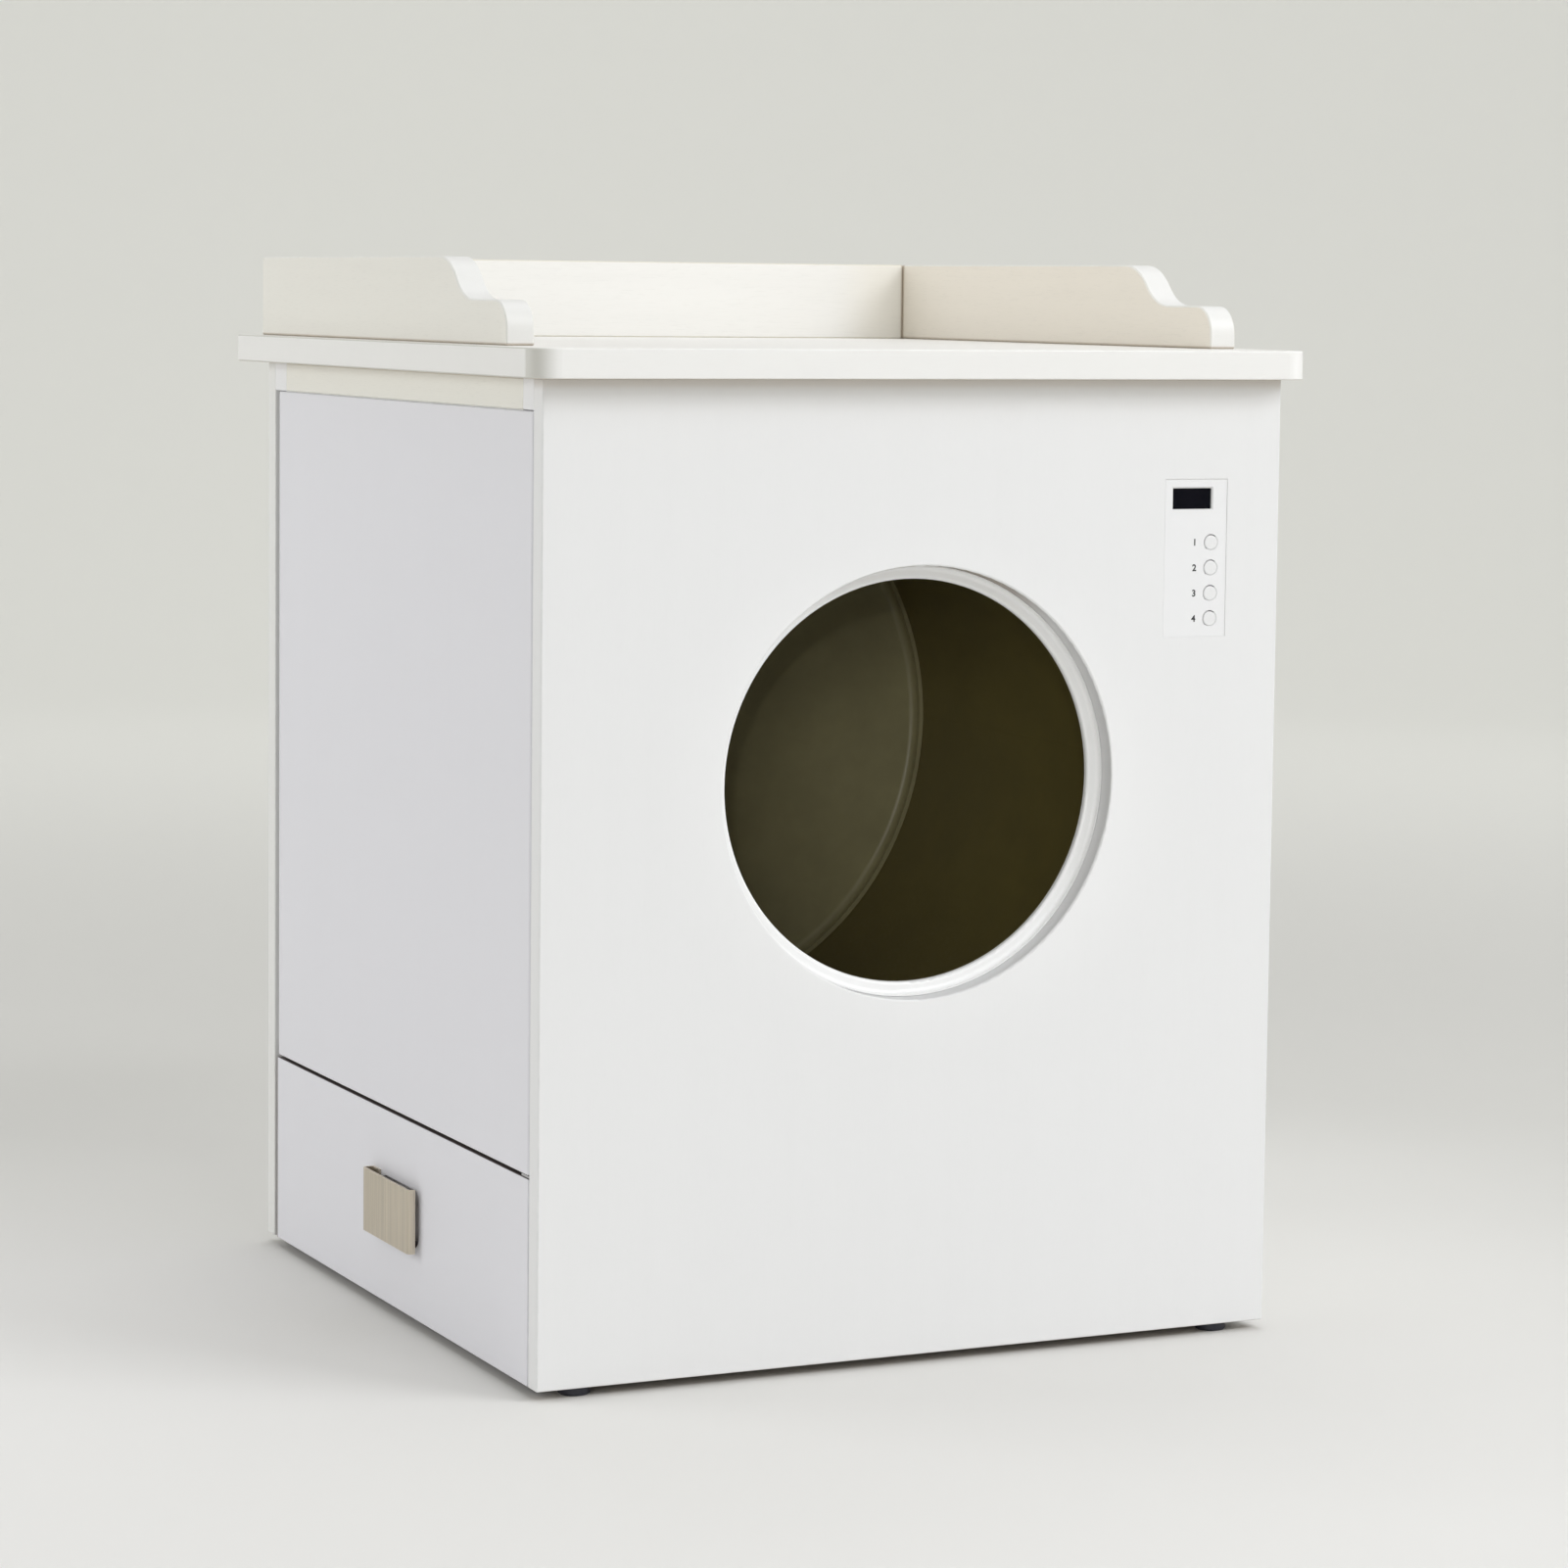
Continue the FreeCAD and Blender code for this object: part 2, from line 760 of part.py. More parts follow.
def door_pivot_bracket():
    top = door_bottom_z - pivot_plate_gap
    x_leg = -inner_side_x + pivot_leg_gap
    tab = box(-side_x + edge_round, x_leg + pivot_leg_width, inner_front_y,
              inner_front_y + pivot_plate_length, top - pivot_plate_t, top)
    leg = box(x_leg, x_leg + pivot_leg_width, inner_front_y, inner_front_y + pivot_plate_t,
              top - pivot_leg_height, top)
    pin = rod(pivot_pin_r, V(pivot_x, pivot_y, top - pivot_plate_t), Z_DIR,
              pivot_plate_t + pivot_plate_gap + pivot_depth - pivot_end_gap)
    return trimmed(joined([tab, leg, pin]), pivot_screws())


def drum_shell():
    """Drum wall with two roller tracks and the dump port with its raised rim."""
    y0 = shell_front_y
    y1 = shell_back_y
    half = track_width / 2
    steps = [[(drum_r, y1)], [(drum_outer_r, y1)]]
    for y in (rear_track_y, front_track_y):
        steps += [[(drum_outer_r, y + half)], [(track_r, y + half)],
                  [(track_r, y - half)], [(drum_outer_r, y - half)]]
    steps += [[(drum_outer_r, y0)], [(drum_r, y0)]]
    shape = turned((drum_r, y0), steps, 0, axis_z)
    rim_ring = turned(
        (drum_r, port_mid_y - port_length),
        [[(drum_r, port_mid_y + port_length)],
         [(drum_outer_r + port_rim_height, port_mid_y + port_length)],
         [(drum_outer_r + port_rim_height, port_mid_y - port_length)],
         [(drum_r, port_mid_y - port_length)]],
        0, axis_z)
    shape = joined([shape, rim_ring.common(port_block(port_rim_t))])
    return trimmed(shape, [port_block(0.0)] + drum_screws())


def port_block(grow):
    """Block with round corners that stands radially on the drum at the dump port."""
    half_x = port_width / 2 + grow
    half_y = port_length / 2 + grow
    block = rounded_block(-half_x, half_x, port_mid_y - half_y, port_mid_y + half_y,
                          port_corner_r + grow, axis_z + drum_r / 2, axis_z + drum_r * 2)
    block.rotate(V(0, 0, axis_z), Y_DIR, 90 - port_angle)
    return block


def drum_front_cap():
    """Conical front of the drum, from the mouth to a spigot inside the wall."""
    spigot_r = drum_r - cap_spigot_gap
    slope = math.hypot(cone_depth, drum_outer_r - mouth_r)
    skin_y = drum_wall * slope / (drum_outer_r - mouth_r)
    inner_y = shell_front_y + cap_spigot_length
    spigot_in = spigot_r - cap_spigot_t
    share = (spigot_in - mouth_r) / (drum_outer_r - mouth_r)
    shape = turned(
        (mouth_r, mouth_y),
        [[(drum_outer_r, shell_front_y - drum_wall)], [(drum_outer_r, shell_front_y)],
         [(spigot_r, shell_front_y)], [(spigot_r, inner_y)], [(spigot_in, inner_y)],
         [(spigot_in, mouth_y + skin_y + share * (cone_depth - drum_wall))],
         [(mouth_r, mouth_y + skin_y)], [(mouth_r, mouth_y)]],
        0, axis_z)
    return trimmed(shape, drum_screws())


def drum_rear_cap():
    """Back wall of the drum with a spigot, a soft inner corner, a hub and ribs."""
    spigot_r = drum_r - cap_spigot_gap
    spigot_in = spigot_r - cap_spigot_t
    wall_y = cap_back_y - rear_cap_t
    spigot_y = shell_back_y - cap_spigot_length - rear_cap_corner_r
    bend = (spigot_in - rear_cap_corner_r, wall_y - rear_cap_corner_r)
    plate = turned(
        (0, wall_y),
        [[(bend[0], wall_y)], [corner(bend, rear_cap_corner_r, 45), (spigot_in, bend[1])],
         [(spigot_in, spigot_y)], [(spigot_r, spigot_y)], [(spigot_r, shell_back_y)],
         [(drum_outer_r, shell_back_y)], [(drum_outer_r, cap_back_y)],
         [(hub_r, cap_back_y)], [(hub_r, cap_back_y + hub_height)],
         [(0, cap_back_y + hub_height)], [(0, wall_y)]],
        0, axis_z)
    ribs = []
    rib_end = ring_bore_r - rib_end_gap
    for index in range(rib_count):
        rib = box(hub_r - rib_sink, rib_end, cap_back_y - rib_sink, cap_back_y + rib_height,
                  axis_z - rib_t / 2, axis_z + rib_t / 2)
        rib.rotate(V(0, 0, axis_z), Y_DIR, 360.0 / rib_count * index)
        ribs.append(rib)
    return trimmed(joined([plate] + ribs), drum_screws() + ring_gear_screws())


def ring_gear_screws():
    """Screws through the ring gear's band into the back cap."""
    radius = ring_bore_r + ring_band / 2
    shapes = []
    for index in range(drum_screw_count):
        seat = on_drum(360.0 / drum_screw_count * index + ring_screw_angle, radius, ring_gear_back_y)
        head = rod(ring_screw_head_r, seat, Y_DIR, ring_screw_head_t)
        shank = rod(ring_screw_r, seat, V(0, -1, 0), gear_width + rear_cap_t - ring_screw_end_gap)
        shapes.append(joined([head, shank]))
    return shapes


def drum_screws():
    """Screws through the wall into the spigots of both caps."""
    seats = [shell_front_y + drum_screw_inset, shell_back_y - drum_screw_inset]
    shapes = []
    for index in range(drum_screw_count):
        angle = 360.0 / drum_screw_count * index + drum_screw_angle
        for y in seats:
            inward = radial(angle).multiply(-1)
            top = on_drum(angle, drum_outer_r + drum_screw_head_t, y)
            head = rod(drum_screw_head_r, top, inward, drum_screw_head_t)
            length = drum_wall + cap_spigot_gap + cap_spigot_t - drum_screw_end_gap
            shank = rod(drum_screw_r, on_drum(angle, drum_outer_r, y), inward, length)
            shapes.append(joined([head, shank]))
    return shapes


def sieve():
    """Slotted grid across the left of the drum, with wall flanges and an end wall."""
    edge_r = drum_r - sieve_gap
    mid_angle = (sieve_start_angle + sieve_end_angle) / 2
    half_angle = (sieve_start_angle - sieve_end_angle) / 2
    plate_distance = edge_r * math.cos(math.radians(half_angle))
    half_chord = math.sqrt(edge_r ** 2 - plate_distance ** 2)
    y0 = shell_front_y + cap_spigot_length + sieve_end_gap
    y1 = shell_back_y - cap_spigot_length - rear_cap_corner_r - sieve_end_gap
    round_bar = rod(edge_r, V(0, y0, axis_z), Y_DIR, y1 - y0)
    inner_bar = rod(edge_r - sieve_flange_t, V(0, y0, axis_z), Y_DIR, y1 - y0)
    flange_chord = half_chord + edge_r * math.radians(sieve_flange_angle)

    def slab(d0, d1, half, ya, yb):
        piece = box(d0, d1, ya, yb, axis_z - half, axis_z + half)
        piece.rotate(V(0, 0, axis_z), Y_DIR, -mid_angle)
        return piece

    plate = slab(plate_distance - sieve_t, plate_distance, flange_chord, y0, y1).common(round_bar)
    depth = edge_r - plate_distance
    flange_zone = slab(plate_distance - depth, plate_distance, flange_chord, y0, y1)
    flanges = round_bar.cut(inner_bar).common(flange_zone)
    end_wall = slab(plate_distance - sieve_t, edge_r, flange_chord, y0, y0 + sieve_t).common(round_bar)
    parts = [plate, flanges, end_wall]
    usable = 2 * (half_chord - slot_margin)
    slot_length = (usable - slot_bar * (slot_row_count - 1)) / slot_row_count
    for row in range(1, slot_row_count):
        middle = -half_chord + slot_margin + row * (slot_length + slot_bar) - slot_bar / 2
        rib = box(plate_distance - sieve_t / 2, plate_distance + sieve_rib_height, y0 + sieve_t, y1,
                  axis_z + middle - sieve_rib_t / 2, axis_z + middle + sieve_rib_t / 2)
        rib.rotate(V(0, 0, axis_z), Y_DIR, -mid_angle)
        parts.append(rib)
    shape = joined(parts)
    slots = []
    columns = int((y1 - y0 - 2 * slot_bar) // slot_pitch)
    start_y = (y0 + y1 - (columns - 1) * slot_pitch) / 2
    for column in range(columns):
        y = start_y + column * slot_pitch
        for row in range(slot_row_count):
            low = -half_chord + slot_margin + row * (slot_length + slot_bar)
            slot = box(plate_distance - sieve_t - cutter_over, plate_distance + cutter_over,
                       y - slot_width / 2, y + slot_width / 2, axis_z + low, axis_z + low + slot_length)
            slot.rotate(V(0, 0, axis_z), Y_DIR, -mid_angle)
            slots.append(slot)
    return shape.cut(Part.makeCompound(slots))


def involute_angle(radius, base_r):
    """Angle that an involute turns through between its base circle and a radius."""
    if radius <= base_r:
        return 0.0
    pressure = math.acos(base_r / radius)
    return math.tan(pressure) - pressure


def gear_points(teeth, shift, addendum, steps, first_angle):
    """Corner points of a spur gear's outline, with relieved involute flanks."""
    pitch_r = gear_module * teeth / 2
    base_r = pitch_r * math.cos(math.radians(pressure_angle))
    tip_r = pitch_r + gear_module * (addendum + shift)
    root_r = pitch_r - gear_module * (gear_dedendum - shift)
    tooth = gear_module * (math.pi / 2 + 2 * shift * math.tan(math.radians(pressure_angle)))
    half_tooth = (tooth / 2 - flank_relief) / pitch_r
    flank_start = max(root_r, base_r)
    profile = [(root_r, half_tooth + involute_angle(pitch_r, base_r) - involute_angle(flank_start, base_r))]
    for step in range(steps + 1):
        radius = flank_start + (tip_r - flank_start) * step / steps
        turn = half_tooth + involute_angle(pitch_r, base_r) - involute_angle(radius, base_r)
        if step > 0 or flank_start > root_r:
            profile.append((radius, turn))
    points = []
    for index in range(teeth):
        middle = math.radians(first_angle) + 2 * math.pi * index / teeth
        points += [(radius, middle - turn) for radius, turn in profile]
        points += [(radius, middle + turn) for radius, turn in reversed(profile)]
    return points


def gear_face(points, centre_x, centre_z, y):
    corners = [V(centre_x + r * math.cos(a), y, centre_z + r * math.sin(a)) for r, a in points]
    return Part.Face(Part.makePolygon(corners + [corners[0]]))


def ring_gear():
    points = gear_points(ring_tooth_count, -pinion_shift, ring_addendum, ring_flank_count, pinion_angle)
    shape = gear_face(points, 0, axis_z, cap_back_y).extrude(V(0, gear_width, 0))
    bore = through(ring_bore_r, 0, axis_z, cap_back_y, ring_gear_back_y)
    return trimmed(shape, [bore] + ring_gear_screws())


def drum_pinion():
    """Pinion with its shaft, which turns in the gearbox."""
    half_pitch = 180.0 / pinion_tooth_count
    first = pinion_angle + 180 + half_pitch
    points = gear_points(pinion_tooth_count, pinion_shift, pinion_addendum, pinion_flank_count, first)
    y0 = cap_back_y + pinion_setback
    wheel = gear_face(points, motor_x, motor_z, y0).extrude(V(0, gear_width, 0))
    shaft_length = bracket_back_y - y0 + motor_shaft_in
    return joined([wheel, rod(motor_shaft_r, V(motor_x, y0, motor_z), Y_DIR, shaft_length)])


def roller_axle(side):
    y0 = front_cradle_y - cradle_t / 2 - shaft_overhang
    y1 = rear_cradle_y + cradle_t / 2 + shaft_overhang
    return rod(shaft_r, V(side * roller_x, y0, roller_z), Y_DIR, y1 - y0)


def rollers(side):
    """Two grooved rollers, one on each track of the drum."""
    shapes = []
    bore = shaft_r + press_gap
    groove = track_width / 2 + roller_side_gap
    for y in (front_track_y, rear_track_y):
        shapes.append(turned(
            (bore, y - roller_half),
            [[(roller_flange_r, y - roller_half)], [(roller_flange_r, y - groove)],
             [(roller_r, y - groove)], [(roller_r, y + groove)],
             [(roller_flange_r, y + groove)], [(roller_flange_r, y + roller_half)],
             [(bore, y + roller_half)], [(bore, y - roller_half)]],
            side * roller_x, roller_z))
    return shapes


def roller_cradle(y):
    """Bracket with a bearing post at each side and a flat strap between them."""
    half_t = cradle_t / 2
    post_half = cradle_foot_half - cradle_post_inset
    bush_r = shaft_r + bush_clearance + bush_wall
    span = roller_x + cradle_foot_half
    strap = box(-span, span, y - cradle_strap_width / 2, y + cradle_strap_width / 2,
                shelf_top_z, shelf_top_z + cradle_strap_t)
    pads = []
    posts = []
    tools = cradle_screws()
    for side in (-1, 1):
        x = side * roller_x
        pads.append(box(x - cradle_foot_half, x + cradle_foot_half, y - cradle_strap_width,
                        y + cradle_strap_width, shelf_top_z, shelf_top_z + cradle_strap_t))
        foot = outline(
            lambda px, pz: V(px, y - half_t, pz),
            (x - post_half, shelf_top_z),
            [[(x + post_half, shelf_top_z)], [(x + cradle_boss_r, roller_z)],
             [(x, roller_z + cradle_boss_r), (x - cradle_boss_r, roller_z)],
             [(x - post_half, shelf_top_z)]])
        posts.append(foot.extrude(V(0, cradle_t, 0)))
        tools.append(through(bush_r + press_gap, x, roller_z, y - half_t, y + half_t))
    return trimmed(joined([strap] + pads + posts), tools)


def roller_bushes():
    """Flanged bushes in the cradles, with the flange on the rollers' side."""
    outer = shaft_r + bush_clearance + bush_wall
    bore = shaft_r + bush_clearance
    shapes = []
    for y, inward in ((front_cradle_y, 1), (rear_cradle_y, -1)):
        far = y - inward * cradle_t / 2
        near = y + inward * cradle_t / 2
        end = near + inward * bush_flange_t
        for side in (-1, 1):
            shapes.append(turned(
                (bore, far),
                [[(outer, far)], [(outer, near)], [(bush_flange_r, near)],
                 [(bush_flange_r, end)], [(bore, end)], [(bore, far)]],
                side * roller_x, roller_z))
    return shapes


def motor_bracket():
    """Angle bracket on the shelf that holds the gearbox behind the ring gear."""
    x0 = motor_x - bracket_width / 2
    x1 = motor_x + bracket_width / 2
    upright = box(x0, x1, bracket_y, bracket_back_y, shelf_top_z, motor_z + bracket_top)
    foot = box(x0, x1, bracket_y, bracket_back_y + bracket_foot, shelf_top_z, shelf_top_z + bracket_t)
    gussets = []
    for x in (x0, x1 - bracket_t):
        web = outline(
            lambda y, z: V(x, y, z),
            (bracket_y, shelf_top_z),
            [[(bracket_back_y + bracket_foot, shelf_top_z)], [(bracket_y, motor_z)],
             [(bracket_y, shelf_top_z)]])
        gussets.append(web.extrude(V(bracket_t, 0, 0)))
    boss_hole = through(gearbox_boss_r + press_gap, motor_x, motor_z, bracket_y, bracket_back_y)
    return trimmed(joined([upright, foot] + gussets), [boss_hole] + bracket_screws())


def gearbox():
    body = rod(gearbox_r, V(motor_x, bracket_back_y, motor_z), Y_DIR, gearbox_length)
    boss = rod(gearbox_boss_r, V(motor_x, bracket_y, motor_z), Y_DIR, bracket_t + gearbox_length / 2)
    bore = rod(motor_shaft_r + bush_clearance, V(motor_x, bracket_y - cutter_over, motor_z), Y_DIR,
               cutter_over + bracket_t + gearbox_bore_depth)
    return joined([body, boss]).cut(bore)


def motor_can():
    y0 = bracket_back_y + gearbox_length
    body = rod(motor_r, V(motor_x, y0, motor_z), Y_DIR, motor_length)
    boss = rod(motor_boss_r, V(motor_x, y0, motor_z), Y_DIR, motor_length + motor_boss_length)
    return joined([body, boss])


def drum_sensor():
    """Position sensor on an upright post, facing the back of the ring gear."""
    reach = on_drum(sensor_angle, ring_pitch_r, 0)
    y0 = ring_gear_back_y + sensor_gap
    half = sensor_width / 2
    post = box(reach.x - half, reach.x + half, y0 + sensor_t / 2, y0 + sensor_t,
               shelf_top_z, reach.z + half)
    head = box(reach.x - half / 2, reach.x + half / 2, y0, y0 + sensor_t, reach.z - half, reach.z + half)
    foot = box(reach.x - half, reach.x + half, y0 + sensor_t / 2, y0 + sensor_foot,
               shelf_top_z, shelf_top_z + sensor_t / 2)
    return joined([post, head, foot])


def waste_chute():
    """Flanged sleeve through the shelf that leads the waste into the bin."""
    flange = chute_hole_block(chute_flange, shelf_top_z, shelf_top_z + chute_wall)
    half_x = chute_width / 2
    half_y = chute_length / 2
    sleeve = rounded_block(-half_x, half_x, port_mid_y - half_y, port_mid_y + half_y,
                           chute_corner_r, shelf_z, shelf_top_z + chute_wall)
    spout = tapered_block(-half_x, half_x, port_mid_y - half_y, port_mid_y + half_y,
                          chute_corner_r, shelf_z - chute_drop, shelf_z, chute_taper)
    inner_x = half_x - chute_wall
    inner_y = half_y - chute_wall
    bore = rounded_block(-inner_x, inner_x, port_mid_y - inner_y, port_mid_y + inner_y,
                         chute_corner_r - chute_wall, shelf_z, shelf_top_z + chute_wall + cutter_over)
    bore_end = tapered_block(-inner_x, inner_x, port_mid_y - inner_y, port_mid_y + inner_y,
                             chute_corner_r - chute_wall, shelf_z - chute_drop, shelf_z, chute_taper)
    return trimmed(joined([flange, sleeve, spout]), [bore, bore_end])


def drawer_front():
    z1 = floor_gap + drawer_front_height
    shape = rounded(box(-side_x, -inner_side_x, door_front_y, drawer_rear_y, floor_gap, z1), edge_round)
    y0 = pull_mid_y - pull_length / 2 + recess_margin
    y1 = pull_mid_y + pull_length / 2 - pull_sheet - pull_foot - recess_margin
    half_y = (y1 - y0) / 2
    half_z = pull_height / 2 - recess_margin
    wire = rounded_rectangle(-half_z, half_z, -half_y, half_y, recess_corner_r, 0)
    recess = Part.Face(wire).extrude(V(0, 0, recess_depth + cutter_over))
    recess.rotate(V(0, 0, 0), Y_DIR, 90)
    recess.translate(V(-side_x - cutter_over, (y0 + y1) / 2, pull_mid_z))
    return trimmed(shape, [recess] + pull_screws())


def drawer_pull():
    """Bent plate: a foot at the rear end, a rolled lip at the front end."""
    outer = -side_x - pull_standoff
    inner = outer + pull_sheet
    y0 = pull_mid_y - pull_length / 2
    y1 = pull_mid_y + pull_length / 2
    r = pull_bend_r
    s = pull_sheet
    lip = (outer + r, y0 + r)
    heel = (outer + r, y1 - r)
    lip_x = -side_x - pull_lip_gap
    foot_y = y1 - s - pull_foot
    face = outline(
        lambda x, y: V(x, y, pull_mid_z - pull_height / 2),
        (lip_x, y0),
        [[(lip[0], y0)], [corner(lip, r, 225), (outer, lip[1])],
         [(outer, heel[1])], [corner(heel, r, 135), (heel[0], y1)],
         [(-side_x, y1)], [(-side_x, foot_y)], [(-side_x - s, foot_y)], [(-side_x - s, y1 - s)],
         [(heel[0], y1 - s)], [corner(heel, r - s, 135), (inner, heel[1])], [(inner, lip[1])],
         [corner(lip, r - s, 225), (lip[0], y0 + s)], [(lip_x, y0 + s)], [(lip_x, y0)]])
    return trimmed(face.extrude(V(0, 0, pull_height)), pull_screws())


def pull_screws():
    """Screws from inside the drawer front into the foot of the pull."""
    y = pull_mid_y + pull_length / 2 - pull_sheet - pull_foot / 2
    outward = V(-1, 0, 0)
    shapes = []
    for side in (-1, 1):
        z = pull_mid_z + side * (pull_height / 2 - pull_screw_inset)
        head = rod(screw_head_r, V(-inner_side_x + screw_head_t, y, z), outward, screw_head_t)
        shank = rod(screw_r, V(-inner_side_x, y, z), outward, panel_t + pull_sheet - edge_round / 2)
        shapes.append(joined([head, shank]))
    return shapes


def drawer_side(y0):
    top = drawer_floor_z + drawer_side_height
    shape = box(-inner_side_x, drawer_back_x, y0, y0 + drawer_board_t, drawer_floor_z, top)
    return shape


def drawer_back():
    top = drawer_floor_z + drawer_side_height
    y0 = drawer_front_side_y + drawer_board_t
    y1 = drawer_rear_side_y - drawer_board_t
    return box(drawer_back_x - drawer_board_t, drawer_back_x, y0, y1, drawer_floor_z, top)


def drawer_bottom():
    return box(-inner_side_x, drawer_back_x, drawer_front_side_y, drawer_rear_side_y,
               drawer_z0, drawer_floor_z)


def waste_bin():
    """Lift-out tray with drafted walls and a turned-out rim."""
    x0 = -inner_side_x + bin_gap + bin_rim
    x1 = drawer_back_x - drawer_board_t - bin_gap - bin_rim
    y0 = drawer_front_side_y + drawer_board_t + bin_gap + bin_rim
    y1 = drawer_rear_side_y - drawer_board_t - bin_gap - bin_rim
    z0 = drawer_floor_z
    z1 = z0 + bin_height
    body = tapered_block(x0, x1, y0, y1, bin_corner_r, z0, z1, bin_taper)
    rim = rounded_block(x0 - bin_rim, x1 + bin_rim, y0 - bin_rim, y1 + bin_rim,
                        bin_corner_r + bin_rim, z1 - bin_wall, z1)
    w = bin_wall
    hollow = tapered_block(x0 + w, x1 - w, y0 + w, y1 - w, bin_corner_r - w, z0 + w, z1, bin_taper)
    return joined([body, rim]).cut(hollow)


def runner_channel(y_wall, inward):
    """Channel on a panel that holds the drawer's slide bar."""
    z_mid = floor_gap + runner_z
    half = runner_height / 2
    depth = drawer_side_gap - runner_side_gap
    w = runner_wall

    def strip(a, b, z0, z1):
        y_pair = sorted((y_wall + inward * a, y_wall + inward * b))
        return box(runner_x0, runner_x1, y_pair[0], y_pair[1], z_mid + z0, z_mid + z1)

    parts = [strip(0, w, -half, half), strip(0, depth, half - w, half), strip(0, depth, -half, -half + w)]
    parts += [strip(depth - w, depth, half - w - runner_lip, half)]
    parts += [strip(depth - w, depth, -half, -half + w + runner_lip)]
    return trimmed(joined(parts), runner_screws())


def slide_bar(y_side, outward):
    """T-shaped bar on the drawer's side that runs in the channel."""
    z_mid = floor_gap + runner_z
    half = runner_height / 2 - runner_wall - runner_gap
    neck = runner_height / 2 - runner_wall - runner_lip - runner_gap
    back = drawer_side_gap - runner_wall - screw_head_t - runner_gap
    lip_in = runner_side_gap + runner_wall + runner_gap
    x0 = -inner_side_x
    x1 = runner_x1 + runner_rear_gap / 2

    def strip(a, b, z0, z1):
        y_pair = sorted((y_side + outward * a, y_side + outward * b))
        return box(x0, x1, y_pair[0], y_pair[1], z_mid + z0, z_mid + z1)

    return joined([strip(0, (lip_in + back) / 2, -neck, neck), strip(lip_in, back, -half, half)])


def control_bezel():
    """Front plate with the display window and a guiding well behind each button."""
    half = control_width / 2
    plate = box(control_x - half, control_x + half, bezel_y, bezel_y + bezel_t,
                control_bottom_z, control_top_z)
    floor_y = bezel_y + button_cap_t + button_travel + well_floor_gap
    wells = []
    holes = []
    for z in button_heights():
        seat = V(button_x, bezel_y + bezel_t / 2, z)
        wells.append(rod(button_well_r + well_wall, seat, Y_DIR, floor_y + well_floor_t - seat.y))
        front = bezel_y - cutter_over
        holes.append(rod(button_well_r, V(button_x, front, z), Y_DIR, floor_y - front))
        holes.append(rod(button_stem_r + button_fit, V(button_x, bezel_y, z), Y_DIR, panel_t))
    opening = display_opening(0.0, bezel_y - cutter_over, bezel_y + bezel_t + cutter_over)
    foot = display_rectangle(0.0, bezel_y + display_chamfer)
    mouth = display_rectangle(display_chamfer, bezel_y)
    bevel = Part.makeLoft([foot, mouth], True, True)
    return trimmed(joined([plate] + wells), holes + [opening, bevel])


def button_heights():
    top = control_top_z - button_first_drop
    return [top - button_pitch * index for index in range(button_count)]


def display_rectangle(grow, y):
    half = display_width / 2 + grow
    z1 = control_top_z - display_drop + grow
    z0 = control_top_z - display_drop - display_height - grow
    points = [V(display_x - half, y, z0), V(display_x + half, y, z0)]
    points += [V(display_x + half, y, z1), V(display_x - half, y, z1)]
    return Part.makePolygon(points + [points[0]])


def display_opening(grow, y0, y1):
    return Part.Face(display_rectangle(grow, y0)).extrude(V(0, y1 - y0, 0))


def display_window():
    y0 = bezel_y + bezel_t
    return display_opening(display_glass_lap, y0, y0 + display_glass_t)


def push_button(z):
    """Round cap on a stem that slides in the floor of its well."""
    y0 = bezel_y - button_proud
    cap = rod(button_r, V(button_x, y0, z), Y_DIR, button_cap_t)
    rim = [e for e in cap.Edges if e.BoundBox.YMax < y0 + edge_find]
    cap = cap.makeFillet(button_edge_r, rim)
    stem_end = front_y + board_y - switch_reach() - switch_gap - button_travel
    stem_y = y0 + button_cap_t / 2
    stem = rod(button_stem_r, V(button_x, stem_y, z), Y_DIR, stem_end - stem_y)
    return joined([cap, stem])


def switch_reach():
    """Height of a switch, so that its top meets the stem at the end of the travel."""
    floor_y = bezel_recess + button_cap_t + button_travel + well_floor_gap + well_floor_t
    return (board_y - floor_y) / 2


def control_board():
    y0 = front_y + board_y
    half = control_width / 2 - window_margin - board_margin
    plate = box(control_x - half, control_x + half, y0, y0 + board_t,
                control_bottom_z + window_margin + board_margin,
                control_top_z - window_margin - board_margin)
    parts = [plate]
    sink_y = y0 + board_part_sink
    for z in button_heights():
        h = switch_size / 2
        parts.append(box(button_x - h, button_x + h, y0 - switch_reach(), sink_y, z - h, z + h))
    parts.append(display_opening(-display_part_margin, bezel_y + bezel_t + display_glass_t, sink_y))
    return joined(parts)


